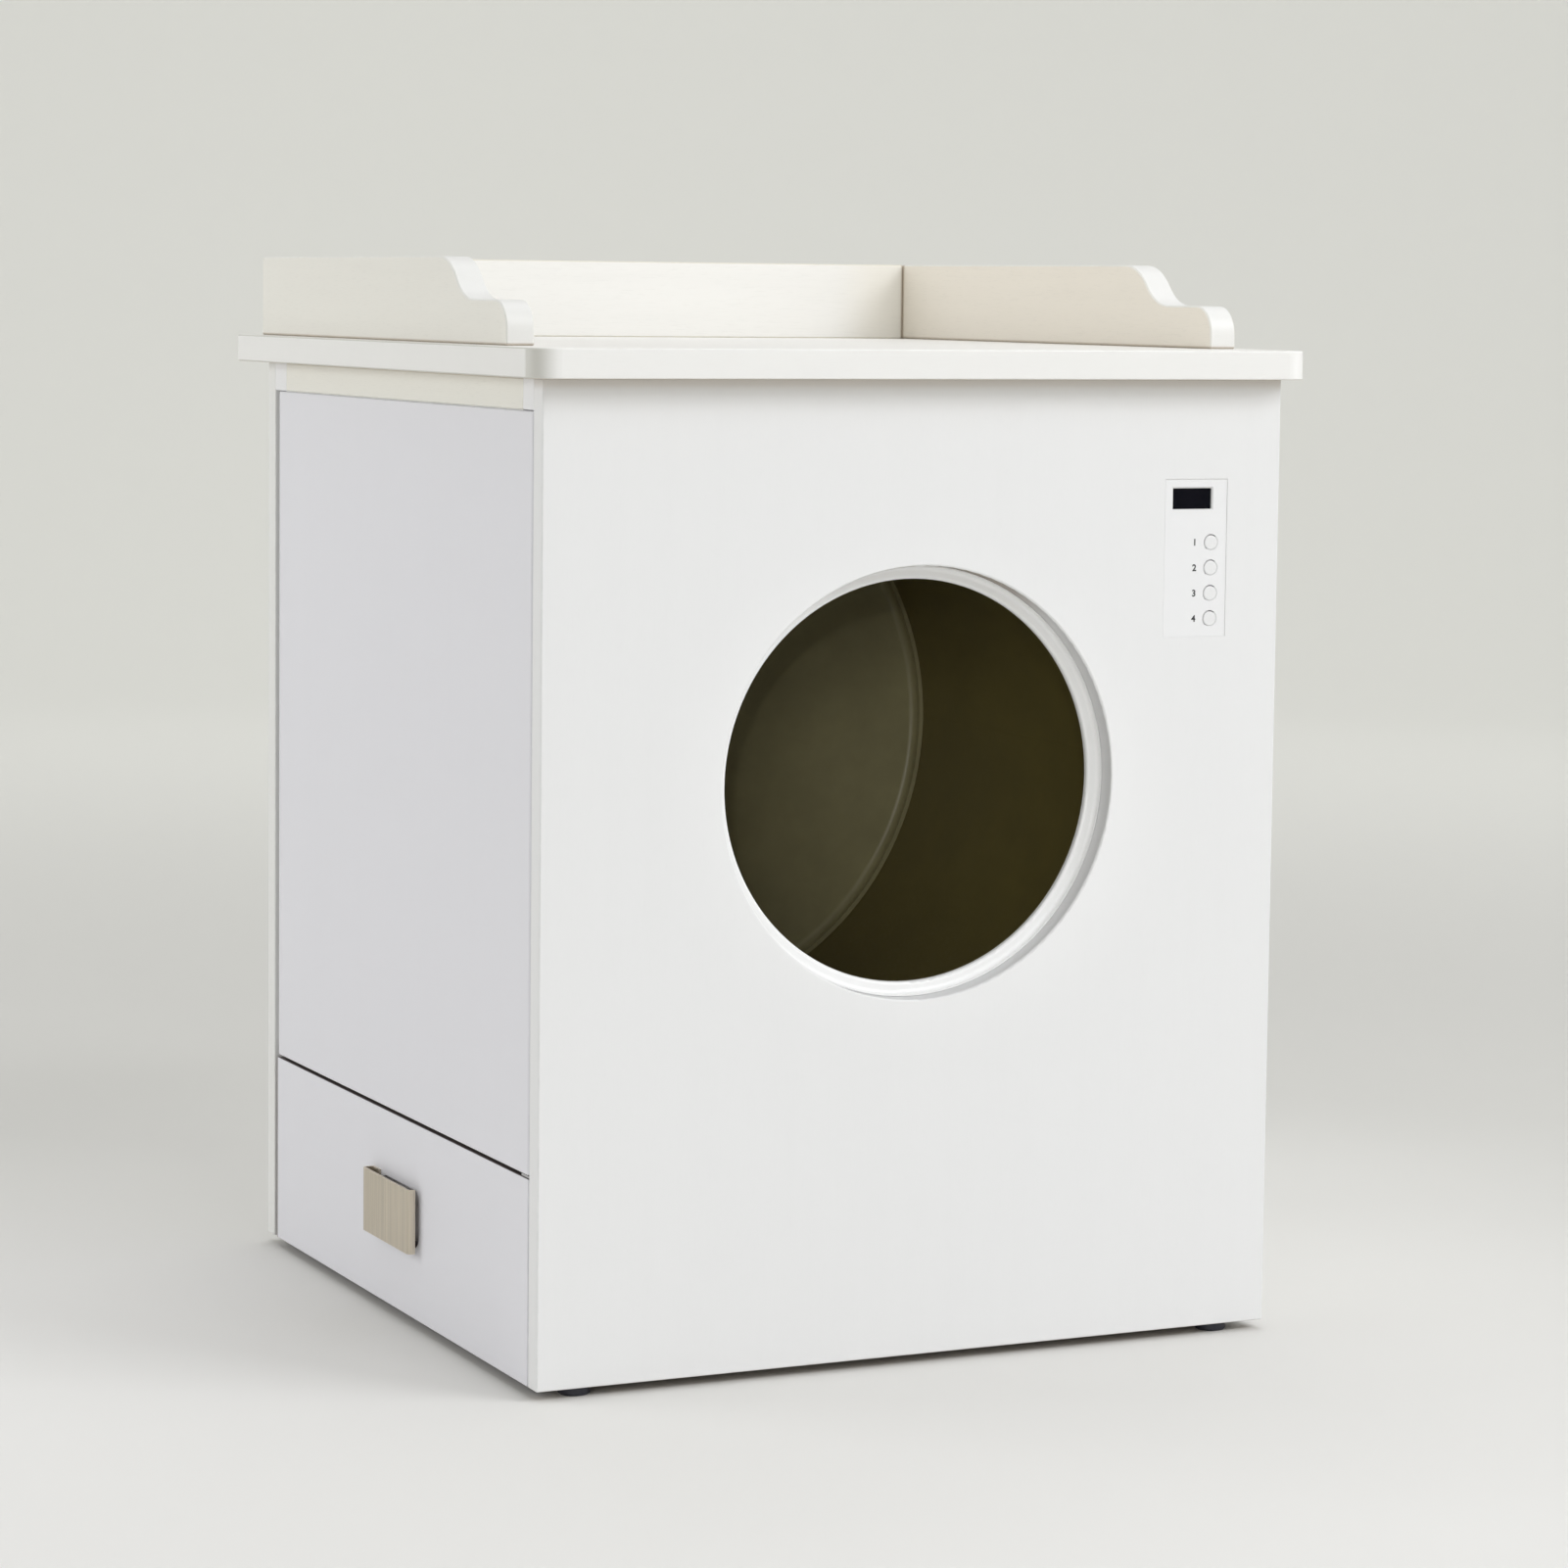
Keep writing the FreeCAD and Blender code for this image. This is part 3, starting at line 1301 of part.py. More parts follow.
def control_housing():
    """Cover over the board, on the rear face of the front panel."""
    half = control_width / 2 + housing_margin
    z0 = control_bottom_z - housing_margin
    z1 = control_top_z + housing_margin
    w = housing_wall
    y1 = inner_front_y + housing_depth
    shell = box(control_x - half, control_x + half, inner_front_y, y1, z0, z1)
    rear_edges = [e for e in shell.Edges if e.BoundBox.YMin > y1 - w]
    shell = shell.makeChamfer(w, rear_edges)
    hollow = box(control_x - half + w, control_x + half - w,
                 inner_front_y - cutter_over, y1 - w, z0 + w, z1 - w)
    posts = []
    post_length = y1 - housing_post_sink - inner_front_y
    board_back_y = front_y + board_y + board_t
    for x in (control_x - half + housing_post_inset, control_x + half - housing_post_inset):
        for z in (z0 + housing_post_inset, z1 - housing_post_inset):
            posts.append(rod(housing_post_r, V(x, inner_front_y, z), Y_DIR, post_length))
    presser = rod(housing_post_r, V(control_x, board_back_y, control_bottom_z + presser_inset),
                  Y_DIR, y1 - housing_post_sink - board_back_y)
    slot_y = y1 - housing_depth / 2
    slot_half = lead_slot_size / 2
    lead_slot = box(control_x - slot_half, control_x + slot_half, slot_y, slot_y + lead_slot_size,
                    z0 - cutter_over, z0 + w + cutter_over)
    return joined([shell.cut(hollow)] + posts + [presser]).cut(lead_slot)


def glide_feet():
    shapes = []
    for y in (front_y + foot_end_inset, back_y - foot_end_inset):
        for x in (-foot_x, foot_x):
            foot = rod(foot_r, V(x, y, 0), Z_DIR, floor_gap)
            low_edge = [e for e in foot.Edges if e.BoundBox.ZMax < edge_find]
            shapes.append(foot.makeChamfer(foot_chamfer, low_edge))
    return shapes


def dc_inlet():
    """Round power inlet with its flange on the outside of the back panel."""
    outer_y = back_y + inlet_flange_t
    barrel = rod(inlet_r, V(inlet_x, outer_y - inlet_length, inlet_z), Y_DIR, inlet_length)
    flange = rod(inlet_flange_r, V(inlet_x, back_y, inlet_z), Y_DIR, inlet_flange_t)
    bore = rod(inlet_bore_r, V(inlet_x, outer_y - inlet_bore_depth, inlet_z), Y_DIR,
               inlet_bore_depth + cutter_over)
    return joined([barrel, flange]).cut(bore)


def hardware_screws():
    return collar_screws() + cradle_screws() + runner_screws() + bracket_screws() + pivot_screws()


def save(name, shape):
    if isinstance(shape, list):
        shape = Part.makeCompound(shape)
    shape.exportStep("parts/" + name + ".step")


def build():
    pieces = {
        "front_panel": front_panel(),
        "back_panel": back_panel(),
        "right_side_panel": right_side_panel(),
        "bottom_panel": bottom_panel(),
        "shelf": shelf(),
        "left_top_rail": left_top_rail(),
        "rail_blocks": rail_blocks(),
        "top_board": top_board(),
        "gallery_left_rail": gallery_side(-side_x),
        "gallery_right_rail": gallery_side(side_x - gallery_t),
        "gallery_back_rail": gallery_back(),
        "opening_collar": opening_collar(),
        "side_door": side_door(),
        "door_strike_plate": door_strike_plate(),
        "magnetic_catch": magnetic_catch(),
        "door_pivot_pin": door_pivot_pin(),
        "door_pivot_bracket": door_pivot_bracket(),
        "drum_shell": drum_shell(),
        "drum_front_cap": drum_front_cap(),
        "drum_rear_cap": drum_rear_cap(),
        "drum_screws": drum_screws() + ring_gear_screws(),
        "sieve": sieve(),
        "ring_gear": ring_gear(),
        "drum_pinion": drum_pinion(),
        "roller_axle_left": roller_axle(-1),
        "roller_axle_right": roller_axle(1),
        "rollers_left": rollers(-1),
        "rollers_right": rollers(1),
        "roller_cradle_front": roller_cradle(front_cradle_y),
        "roller_cradle_rear": roller_cradle(rear_cradle_y),
        "roller_bushes": roller_bushes(),
        "motor_bracket": motor_bracket(),
        "gearbox": gearbox(),
        "motor_can": motor_can(),
        "drum_sensor": drum_sensor(),
        "waste_chute": waste_chute(),
        "drawer_front": drawer_front(),
        "drawer_pull": drawer_pull(),
        "drawer_side_front": drawer_side(drawer_front_side_y),
        "drawer_side_rear": drawer_side(drawer_rear_side_y - drawer_board_t),
        "drawer_back": drawer_back(),
        "drawer_bottom": drawer_bottom(),
        "waste_bin": waste_bin(),
        "pull_screws": pull_screws(),
        "runner_channels": [runner_channel(inner_front_y, 1), runner_channel(inner_back_y, -1)],
        "slide_bars": [slide_bar(drawer_front_side_y, -1), slide_bar(drawer_rear_side_y, 1)],
        "control_bezel": control_bezel(),
        "display_window": display_window(),
        "control_board": control_board(),
        "control_housing": control_housing(),
        "glide_feet": glide_feet(),
        "dc_inlet": dc_inlet(),
        "panel_screws": back_panel_screws(),
        "cam_locks": cams(),
        "hardware_screws": hardware_screws(),
    }
    for index, z in enumerate(button_heights()):
        pieces["button_" + str(index + 1)] = push_button(z)
    for name, shape in pieces.items():
        save(name, shape)


build()
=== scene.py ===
import bmesh
import bpy
import json
import math
import numpy
from mathutils import Matrix, Vector


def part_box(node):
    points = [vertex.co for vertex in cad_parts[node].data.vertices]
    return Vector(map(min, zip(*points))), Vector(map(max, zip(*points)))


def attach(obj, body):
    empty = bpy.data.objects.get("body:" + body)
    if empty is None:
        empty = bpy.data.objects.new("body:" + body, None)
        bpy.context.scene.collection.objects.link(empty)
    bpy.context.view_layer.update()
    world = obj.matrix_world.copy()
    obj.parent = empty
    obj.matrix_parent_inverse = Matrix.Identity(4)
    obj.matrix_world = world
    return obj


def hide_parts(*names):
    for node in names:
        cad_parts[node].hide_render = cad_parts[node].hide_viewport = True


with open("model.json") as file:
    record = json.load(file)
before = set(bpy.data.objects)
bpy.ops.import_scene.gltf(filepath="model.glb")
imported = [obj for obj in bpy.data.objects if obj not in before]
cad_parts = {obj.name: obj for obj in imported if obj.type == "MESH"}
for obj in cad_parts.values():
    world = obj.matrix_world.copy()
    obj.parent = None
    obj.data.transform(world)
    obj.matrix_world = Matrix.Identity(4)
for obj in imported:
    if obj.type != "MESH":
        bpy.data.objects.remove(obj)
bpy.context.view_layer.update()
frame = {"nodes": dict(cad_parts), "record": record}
nodes = frame["nodes"]
scene = bpy.context.scene

MM = 0.001
BUTTON_NUMBERS = (1, 2, 3, 4)

# Camera: place in metres, angles in degrees, lens and sensor in millimetres.
# They were worked out from the straight edges of the cabinet.
CAMERA_PLACE = (-1.23892, -2.68472, 0.66094)
CAMERA_HEADING = 25.2348
CAMERA_DOWN = 5.0681
CAMERA_ROLL = 0.6356
CAMERA_LENS = 103.40
CAMERA_SENSOR = 36.0
CAMERA_SHIFT = -0.0628
CAMERA_REACH = 60.0


def linked(name, data):
    """A new object of the scene that holds the data."""
    made = bpy.data.objects.new(name, data)
    scene.collection.objects.link(made)
    return made


def camera():
    heading = math.radians(CAMERA_HEADING)
    down = math.radians(CAMERA_DOWN)
    roll = math.radians(CAMERA_ROLL)
    forward = Vector((math.sin(heading) * math.cos(down),
                      math.cos(heading) * math.cos(down),
                      -math.sin(down)))
    level = Vector((math.cos(heading), -math.sin(heading), 0))
    up = level.cross(forward)
    right = level * math.cos(roll) + up * math.sin(roll)
    top = up * math.cos(roll) - level * math.sin(roll)
    data = bpy.data.cameras.new("camera")
    data.lens = CAMERA_LENS
    data.sensor_width = CAMERA_SENSOR
    data.shift_y = CAMERA_SHIFT
    data.clip_end = CAMERA_REACH
    data.dof.use_dof = False
    turn = Matrix((right, top, -forward)).transposed().to_4x4()
    eye = linked("camera", data)
    eye.matrix_world = Matrix.Translation(CAMERA_PLACE) @ turn
    scene.camera = eye


# Shader groups

class Wiring:
    """Short hand for adding nodes to a tree and joining them."""

    def __init__(self, tree):
        self.tree = tree

    def add(self, kind, inputs, settings):
        made = self.tree.nodes.new(kind)
        for key, value in settings.items():
            setattr(made, key, value)
        for key, value in (inputs or {}).items():
            self.feed(made.inputs[key], value)
        return made

    def node(self, kind, inputs=None, **settings):
        return self.add("ShaderNode" + kind, inputs, settings)

    def feed(self, socket, value):
        if isinstance(value, bpy.types.NodeSocket):
            self.tree.links.new(value, socket)
        else:
            socket.default_value = value

    def math(self, operation, *values, clamp=False):
        return self.node("Math", dict(enumerate(values)), operation=operation, use_clamp=clamp).outputs[0]

    def plus(self, first, second):
        return self.math("ADD", first, second)

    def minus(self, first, second):
        return self.math("SUBTRACT", first, second)

    def times(self, first, second):
        return self.math("MULTIPLY", first, second)

    def vector(self, operation, *values):
        return self.node("VectorMath", dict(enumerate(values)), operation=operation).outputs[0]

    def parts(self, vector):
        """X, Y and Z of a vector."""
        return self.node("SeparateXYZ", {0: vector}).outputs

    def spread(self, value, low, high):
        """0 where the value is low and 1 where it is high, eased in between."""
        inputs = {0: value, 1: low, 2: high, 3: 0.0, 4: 1.0}
        return self.node("MapRange", inputs, interpolation_type="SMOOTHSTEP").outputs[0]

    def blend(self, share, first, second):
        made = self.node("Mix", data_type="RGBA")
        self.feed(made.inputs[0], share)
        self.feed(made.inputs[6], first)
        self.feed(made.inputs[7], second)
        return made.outputs[2]

    def noise(self, place, scale, detail, roughness):
        inputs = {"Vector": place, "Scale": scale, "Detail": detail, "Roughness": roughness}
        return self.node("TexNoise", inputs).outputs["Fac"]


def new_group(name, inputs, outputs):
    """Wiring of a new shader group, what the group is given, and what it gives out."""
    tree = bpy.data.node_groups.new(name, "ShaderNodeTree")
    for label, kind, value in inputs:
        socket = tree.interface.new_socket(label, in_out="INPUT", socket_type="NodeSocket" + kind)
        if value is not None:
            socket.default_value = value
    for label in outputs:
        tree.interface.new_socket(label, in_out="OUTPUT", socket_type="NodeSocketFloat")
    given = tree.nodes.new("NodeGroupInput").outputs
    result = tree.nodes.new("NodeGroupOutput").inputs
    return Wiring(tree), given, result


def board_grain_group():
    """Long faint streaks of a printed wood facing, with short pores between them."""
    wires, given, result = new_group(
        "board_grain",
        [("Place", "Vector", None), ("Streaks", "Vector", (3, 60, 60)), ("Pores", "Vector", (60, 900, 900))],
        ["Tone", "Height"])
    wide = wires.noise(wires.vector("MULTIPLY", given["Place"], given["Streaks"]), 1.0, 5.0, 0.6)
    fine = wires.noise(wires.vector("MULTIPLY", given["Place"], given["Pores"]), 1.0, 3.0, 0.5)
    pores = wires.spread(fine, 0.30, 0.46)
    wires.feed(result["Tone"], wires.plus(wires.times(wide, 0.7), wires.times(pores, 0.3)))
    wires.feed(result["Height"], wires.plus(pores, wires.times(wide, 0.4)))
    return wires.tree


def edge_wear_group():
    """Mask along the box edges of a piece, broken up by noise."""
    wires, given, result = new_group(
        "edge_wear",
        [("Place", "Vector", None), ("Low", "Vector", (0, 0, 0)), ("High", "Vector", (1, 1, 1)),
         ("Width", "Float", 0.002), ("Break Up", "Float", 90.0)],
        ["Worn"])
    from_low = wires.vector("SUBTRACT", given["Place"], given["Low"])
    from_high = wires.vector("SUBTRACT", given["High"], given["Place"])
    inset = wires.parts(wires.vector("MINIMUM", from_low, from_high))
    smaller = wires.math("MINIMUM", inset[0], inset[1])
    larger = wires.math("MAXIMUM", inset[0], inset[1])
    middle = wires.math("MAXIMUM", smaller, wires.math("MINIMUM", larger, inset[2]))
    near = wires.minus(1.0, wires.spread(middle, 0.0, given["Width"]))
    patches = wires.spread(wires.noise(given["Place"], given["Break Up"], 6.0, 0.65), 0.42, 0.62)
    wires.feed(result["Worn"], wires.times(near, patches))
    return wires.tree


def moulded_skin_group():
    """Fine spark texture and slow flow marks of a moulded plastic."""
    wires, given, result = new_group(
        "moulded_skin",
        [("Place", "Vector", None), ("Grain", "Float", 2200.0), ("Flow", "Float", 14.0)],
        ["Tone", "Gloss", "Height"])
    spark = wires.node("TexVoronoi", {"Vector": given["Place"], "Scale": given["Grain"]})
    fine = wires.noise(given["Place"], given["Grain"], 2.0, 0.5)
    flow = wires.noise(given["Place"], given["Flow"], 5.0, 0.6)
    wires.feed(result["Tone"], flow)
    wires.feed(result["Gloss"], wires.plus(wires.times(flow, 0.6), wires.times(fine, 0.4)))
    wires.feed(result["Height"], wires.plus(spark.outputs["Distance"], fine))
    return wires.tree


def brushed_metal_group():
    """Fine parallel lines of brushing, with a few deeper scratches."""
    wires, given, result = new_group(
        "brushed_metal",
        [("Place", "Vector", None), ("Lines", "Vector", (4000, 4000, 20))],
        ["Tone", "Height"])
    stretched = wires.vector("MULTIPLY", given["Place"], given["Lines"])
    lines = wires.noise(stretched, 1.0, 3.0, 0.7)
    coarse = wires.noise(stretched, 0.23, 2.0, 0.5)
    wires.feed(result["Tone"], wires.plus(wires.times(lines, 0.35), wires.times(coarse, 0.65)))
    wires.feed(result["Height"], lines)
    return wires.tree


def settled_dust_group():
    """Mask of fine dust on faces that look up."""
    wires, given, result = new_group(
        "settled_dust", [("Place", "Vector", None), ("Amount", "Float", 0.5)], ["Dust"])
    up = wires.parts(wires.node("NewGeometry").outputs["Normal"])[2]
    facing = wires.spread(up, 0.35, 0.95)
    speckle = wires.spread(wires.noise(given["Place"], 420.0, 6.0, 0.7), 0.45, 0.75)
    wires.feed(result["Dust"], wires.times(wires.times(facing, speckle), given["Amount"]))
    return wires.tree


GRAIN = board_grain_group()
EDGE = edge_wear_group()
SKIN = moulded_skin_group()
BRUSH = brushed_metal_group()
DUST = settled_dust_group()


# Finishes

# Scales of the patterns: across the grain or the brushing, and along it
STREAKS = (70.0, 3.0)
PORES = (1300.0, 90.0)
BRUSHING = (5200.0, 45.0)

# Where in a pattern's tone the colour turns from darker to full
BOARD_TONES = (0.25, 0.8)
PLASTIC_TONES = (0.3, 0.7)
METAL_TONES = (0.3, 0.72)

# How strongly wear, dust and gloss show, as shares, how fine the wear is broken up,
# and how deep the relief is
BOARD_WORN = 0.35
BOARD_WORN_SHADE = 0.86
BOARD_WEAR_WIDTH = 1.6 * MM
BOARD_BREAK_UP = 90.0
BOARD_DUSTY = 0.06
BOARD_DUST = (0.62, 0.60, 0.56)
BOARD_GLOSS = 0.12
BOARD_DULLED = 0.2
BOARD_RELIEF = 0.2 * MM
BANDING_CONTRAST = 0.015
PLASTIC_WORN = 0.5
PLASTIC_RUBBED = 0.12
PLASTIC_BREAK_UP = 160.0
PLASTIC_DUSTY = 0.12
PLASTIC_DUST = (0.55, 0.53, 0.49)
PLASTIC_GLOSS = 0.16
PLASTIC_DULLED = 0.3
PLASTIC_RELIEF = 0.15 * MM
METAL_WORN = 0.6
METAL_BRIGHT = 1.18
METAL_WEAR_WIDTH = 0.7 * MM
METAL_BREAK_UP = 240.0
METAL_GLOSS = 0.22
METAL_POLISH = 0.1
METAL_RELIEF = 0.1 * MM

# Colours of painted shade, bare board and joints
# Painted shade on the rounded corners of the top board
CORNER_SHADE = (0.45, 0.44, 0.38)
RAW_BOARD = (0.34, 0.27, 0.19)
# Brown of the stained joints, also laid on as painted shade
JOINT_STAIN_AND_SHADE = (0.42, 0.33, 0.23)
# Painted shade in the gaps round the door and the drawer
GAP_SHADE = (0.12, 0.095, 0.09)
# Warm painted shade towards the joint of the back and right gallery rails
WARM_CORNER_PAINTED_SHADE = (0.84, 0.79, 0.66)
PALE_UNDERSIDE = (0.60, 0.50, 0.36)


def rgb(colour):
    return (*colour, 1.0)


def darker(colour, share):
    return tuple(part * share for part in colour)


class Finish(Wiring):
    """A material with its shader, Object coordinates and the shared groups."""

    def __init__(self, name, low, high):
        self.material = bpy.data.materials.new(name)
        self.material.use_nodes = True
        tree = self.material.node_tree
        tree.nodes.clear()
        super().__init__(tree)
        self.shader = self.node("BsdfPrincipled")
        output = self.node("OutputMaterial")
        self.feed(output.inputs["Surface"], self.shader.outputs[0])
        coordinates = self.node("TexCoord").outputs
        self.place = coordinates["Object"]
        self.facing = self.parts(coordinates["Normal"])
        self.spot = self.parts(self.place)
        self.low = low
        self.high = high

    def group(self, tree, **inputs):
        made = self.node("Group", node_tree=tree)
        self.feed(made.inputs["Place"], self.place)
        for key, value in inputs.items():
            self.feed(made.inputs[key.replace("_", " ")], value)
        return made.outputs

    def worn(self, width, break_up):
        """Mask of the worn edges of the piece's own box."""
        return self.group(EDGE, Low=self.low, High=self.high, Width=width, Break_Up=break_up)["Worn"]

    def dust(self, amount):
        return self.group(DUST, Amount=amount)["Dust"]

    def edges(self, across):
        """Mask of the faces that aren't the broad faces across the given axis."""
        flat = self.math("ABSOLUTE", self.facing["xyz".index(across)])
        return self.minus(1.0, self.spread(flat, 0.6, 0.9))

    def underside(self):
        return self.spread(self.times(self.facing[2], -1.0), 0.7, 0.95)

    def topside(self):
        return self.spread(self.facing[2], 0.7, 0.95)

    def left_corners(self):
        """Mask of upright rounded corners at low X, strongest where they meet the side face, where shade is
        painted.
        """
        left = self.times(self.facing[0], -1.0)
        flat = self.spread(left, 0.985, 0.9995)
        return self.times(self.spread(left, 0.1, 0.9), self.minus(1.0, flat))

    def near_level(self, axis, level, reach):
        """Mask of what lies within reach of a plane across the axis."""
        away = self.math("ABSOLUTE", self.minus(self.spot["xyz".index(axis)], level))
        return self.minus(1.0, self.spread(away, reach * 0.3, reach))

    def toned(self, tone, band, colour, contrast):
        """The colour, darker by the contrast where the tone is below the band."""
        return self.blend(self.spread(tone, *band), rgb(darker(colour, 1 - contrast)), rgb(colour))

    def over(self, tone, mask, strength, colour):
        """The tone with a colour laid over it where the mask says."""
        return self.blend(self.times(mask, strength), tone, rgb(colour))

    def surface(self, tone, rough, height, strength, depth, **constants):
        """Feeds the shader, with a bump of the given strength over a depth in metres."""
        bump = self.node("Bump", {"Height": height, "Strength": strength, "Distance": depth})
        self.feed(self.shader.inputs["Base Color"], tone)
        self.feed(self.shader.inputs["Roughness"], rough)
        self.feed(self.shader.inputs["Normal"], bump.outputs[0])
        for key, value in constants.items():
            self.shader.inputs[key.replace("_", " ")].default_value = value
        return self.material


def stretched(scales, along):
    """Scales on X, Y and Z of a pattern that is fine on two axes and coarse along the third."""
    fine, coarse = scales
    return tuple(coarse if axis == along else fine for axis in "xyz")


def board(name, low, high, colour, along, contrast=0.03, rough=0.42, relief=0.08,
          across=None, edging=None, corner=0.0, stains=(), raw=None, crest=0.0):
    """Faced board: slow streaks along one axis, fine pores, edge colours, stained lines, painted shade,
    slightly chipped edges.

    Edge faces take an edge colour, which is edge banding, with painted light and shade where it is matched
    to how each piece is lit. A strength for the rounded corners lays painted shade on them at low X. The
    faces that look down take a given strength and colour: bare board on some boards, painted gap shade on
    the door and drawer. The faces that look up can take the same colour, with a strength of their own, as
    painted gap shade. Each stained line or band of painted shade is an axis, a level, a reach, a strength
    and a colour.
    """
    finish = Finish(name, low, high)
    grain = finish.group(GRAIN, Streaks=stretched(STREAKS, along), Pores=stretched(PORES, along))
    tone = finish.toned(grain["Tone"], BOARD_TONES, colour, contrast)
    # Edge faces: edge banding, with painted light and shade where the colour is matched to how each piece is
    # lit
    if edging:
        edge_band_and_light_tone = finish.toned(grain["Tone"], BOARD_TONES, edging, BANDING_CONTRAST)
        tone = finish.blend(finish.edges(across), tone, edge_band_and_light_tone)
    # Painted shade on the rounded corners at low X
    if corner:
        tone = finish.over(tone, finish.left_corners(), corner, CORNER_SHADE)
    # Stained joint lines and bands of painted shade
    for axis, level, reach, strength, mark_colour in stains:
        tone = finish.over(tone, finish.near_level(axis, level, reach), strength, mark_colour)
    # Faces that look down take bare board colour on some boards and painted gap shade on the door and
    # drawer; faces that look up take the painted gap shade where asked
    if raw:
        tone = finish.over(tone, finish.underside(), *raw)
    if crest:
        tone = finish.over(tone, finish.topside(), crest, raw[1])
    worn = finish.worn(BOARD_WEAR_WIDTH, BOARD_BREAK_UP)
    tone = finish.over(tone, worn, BOARD_WORN, darker(colour, BOARD_WORN_SHADE))
    dust = finish.dust(BOARD_DUSTY)
    tone = finish.blend(dust, tone, rgb(BOARD_DUST))
    gloss = finish.plus(finish.times(grain["Tone"], BOARD_GLOSS), rough - BOARD_GLOSS / 2)
    gloss = finish.plus(gloss, finish.times(finish.plus(dust, worn), BOARD_DULLED))
    return finish.surface(tone, gloss, grain["Height"], relief, BOARD_RELIEF)


def moulded(name, low, high, colour, rough=0.45, contrast=0.08, relief=0.15, grain=2200.0,
            wear=0.9 * MM, **constants):
    """Moulded plastic: spark texture, flow marks, edges rubbed a little paler."""
    finish = Finish(name, low, high)
    skin = finish.group(SKIN, Grain=grain)
    tone = finish.toned(skin["Tone"], PLASTIC_TONES, colour, contrast)
    rubbed = tuple(part + (1 - part) * PLASTIC_RUBBED for part in colour)
    tone = finish.over(tone, finish.worn(wear, PLASTIC_BREAK_UP), PLASTIC_WORN, rubbed)
    dust = finish.dust(PLASTIC_DUSTY)
    tone = finish.blend(dust, tone, rgb(PLASTIC_DUST))
    gloss = finish.plus(finish.times(skin["Gloss"], PLASTIC_GLOSS), rough - PLASTIC_GLOSS / 2)
    gloss = finish.plus(gloss, finish.times(dust, PLASTIC_DULLED))
    return finish.surface(tone, gloss, skin["Height"], relief, PLASTIC_RELIEF, **constants)


def metal(name, low, high, colour, rough=0.32, along="z", relief=0.1, contrast=0.22):
    """Metal brushed or drawn along one axis, with brighter edges."""
    finish = Finish(name, low, high)
    brushed = finish.group(BRUSH, Lines=stretched(BRUSHING, along))
    tone = finish.toned(brushed["Tone"], METAL_TONES, colour, contrast)
    bright = tuple(min(1.0, part * METAL_BRIGHT) for part in colour)
    tone = finish.over(tone, finish.worn(METAL_WEAR_WIDTH, METAL_BREAK_UP), METAL_WORN, bright)
    gloss = finish.plus(finish.times(brushed["Tone"], METAL_GLOSS), rough - METAL_POLISH)
    return finish.surface(tone, gloss, brushed["Height"], relief, METAL_RELIEF,
                          Metallic=1.0, Anisotropic=0.35)


FRONT_WHITE = (0.825, 0.825, 0.825)
DOOR_WHITE = (0.785, 0.78, 0.818)
EDGE_WHITE = (0.872, 0.864, 0.842)
IVORY = (0.865, 0.848, 0.812)
SCREW_STEEL = (0.60, 0.60, 0.61)
NUMERAL_INK = (0.035, 0.035, 0.038)

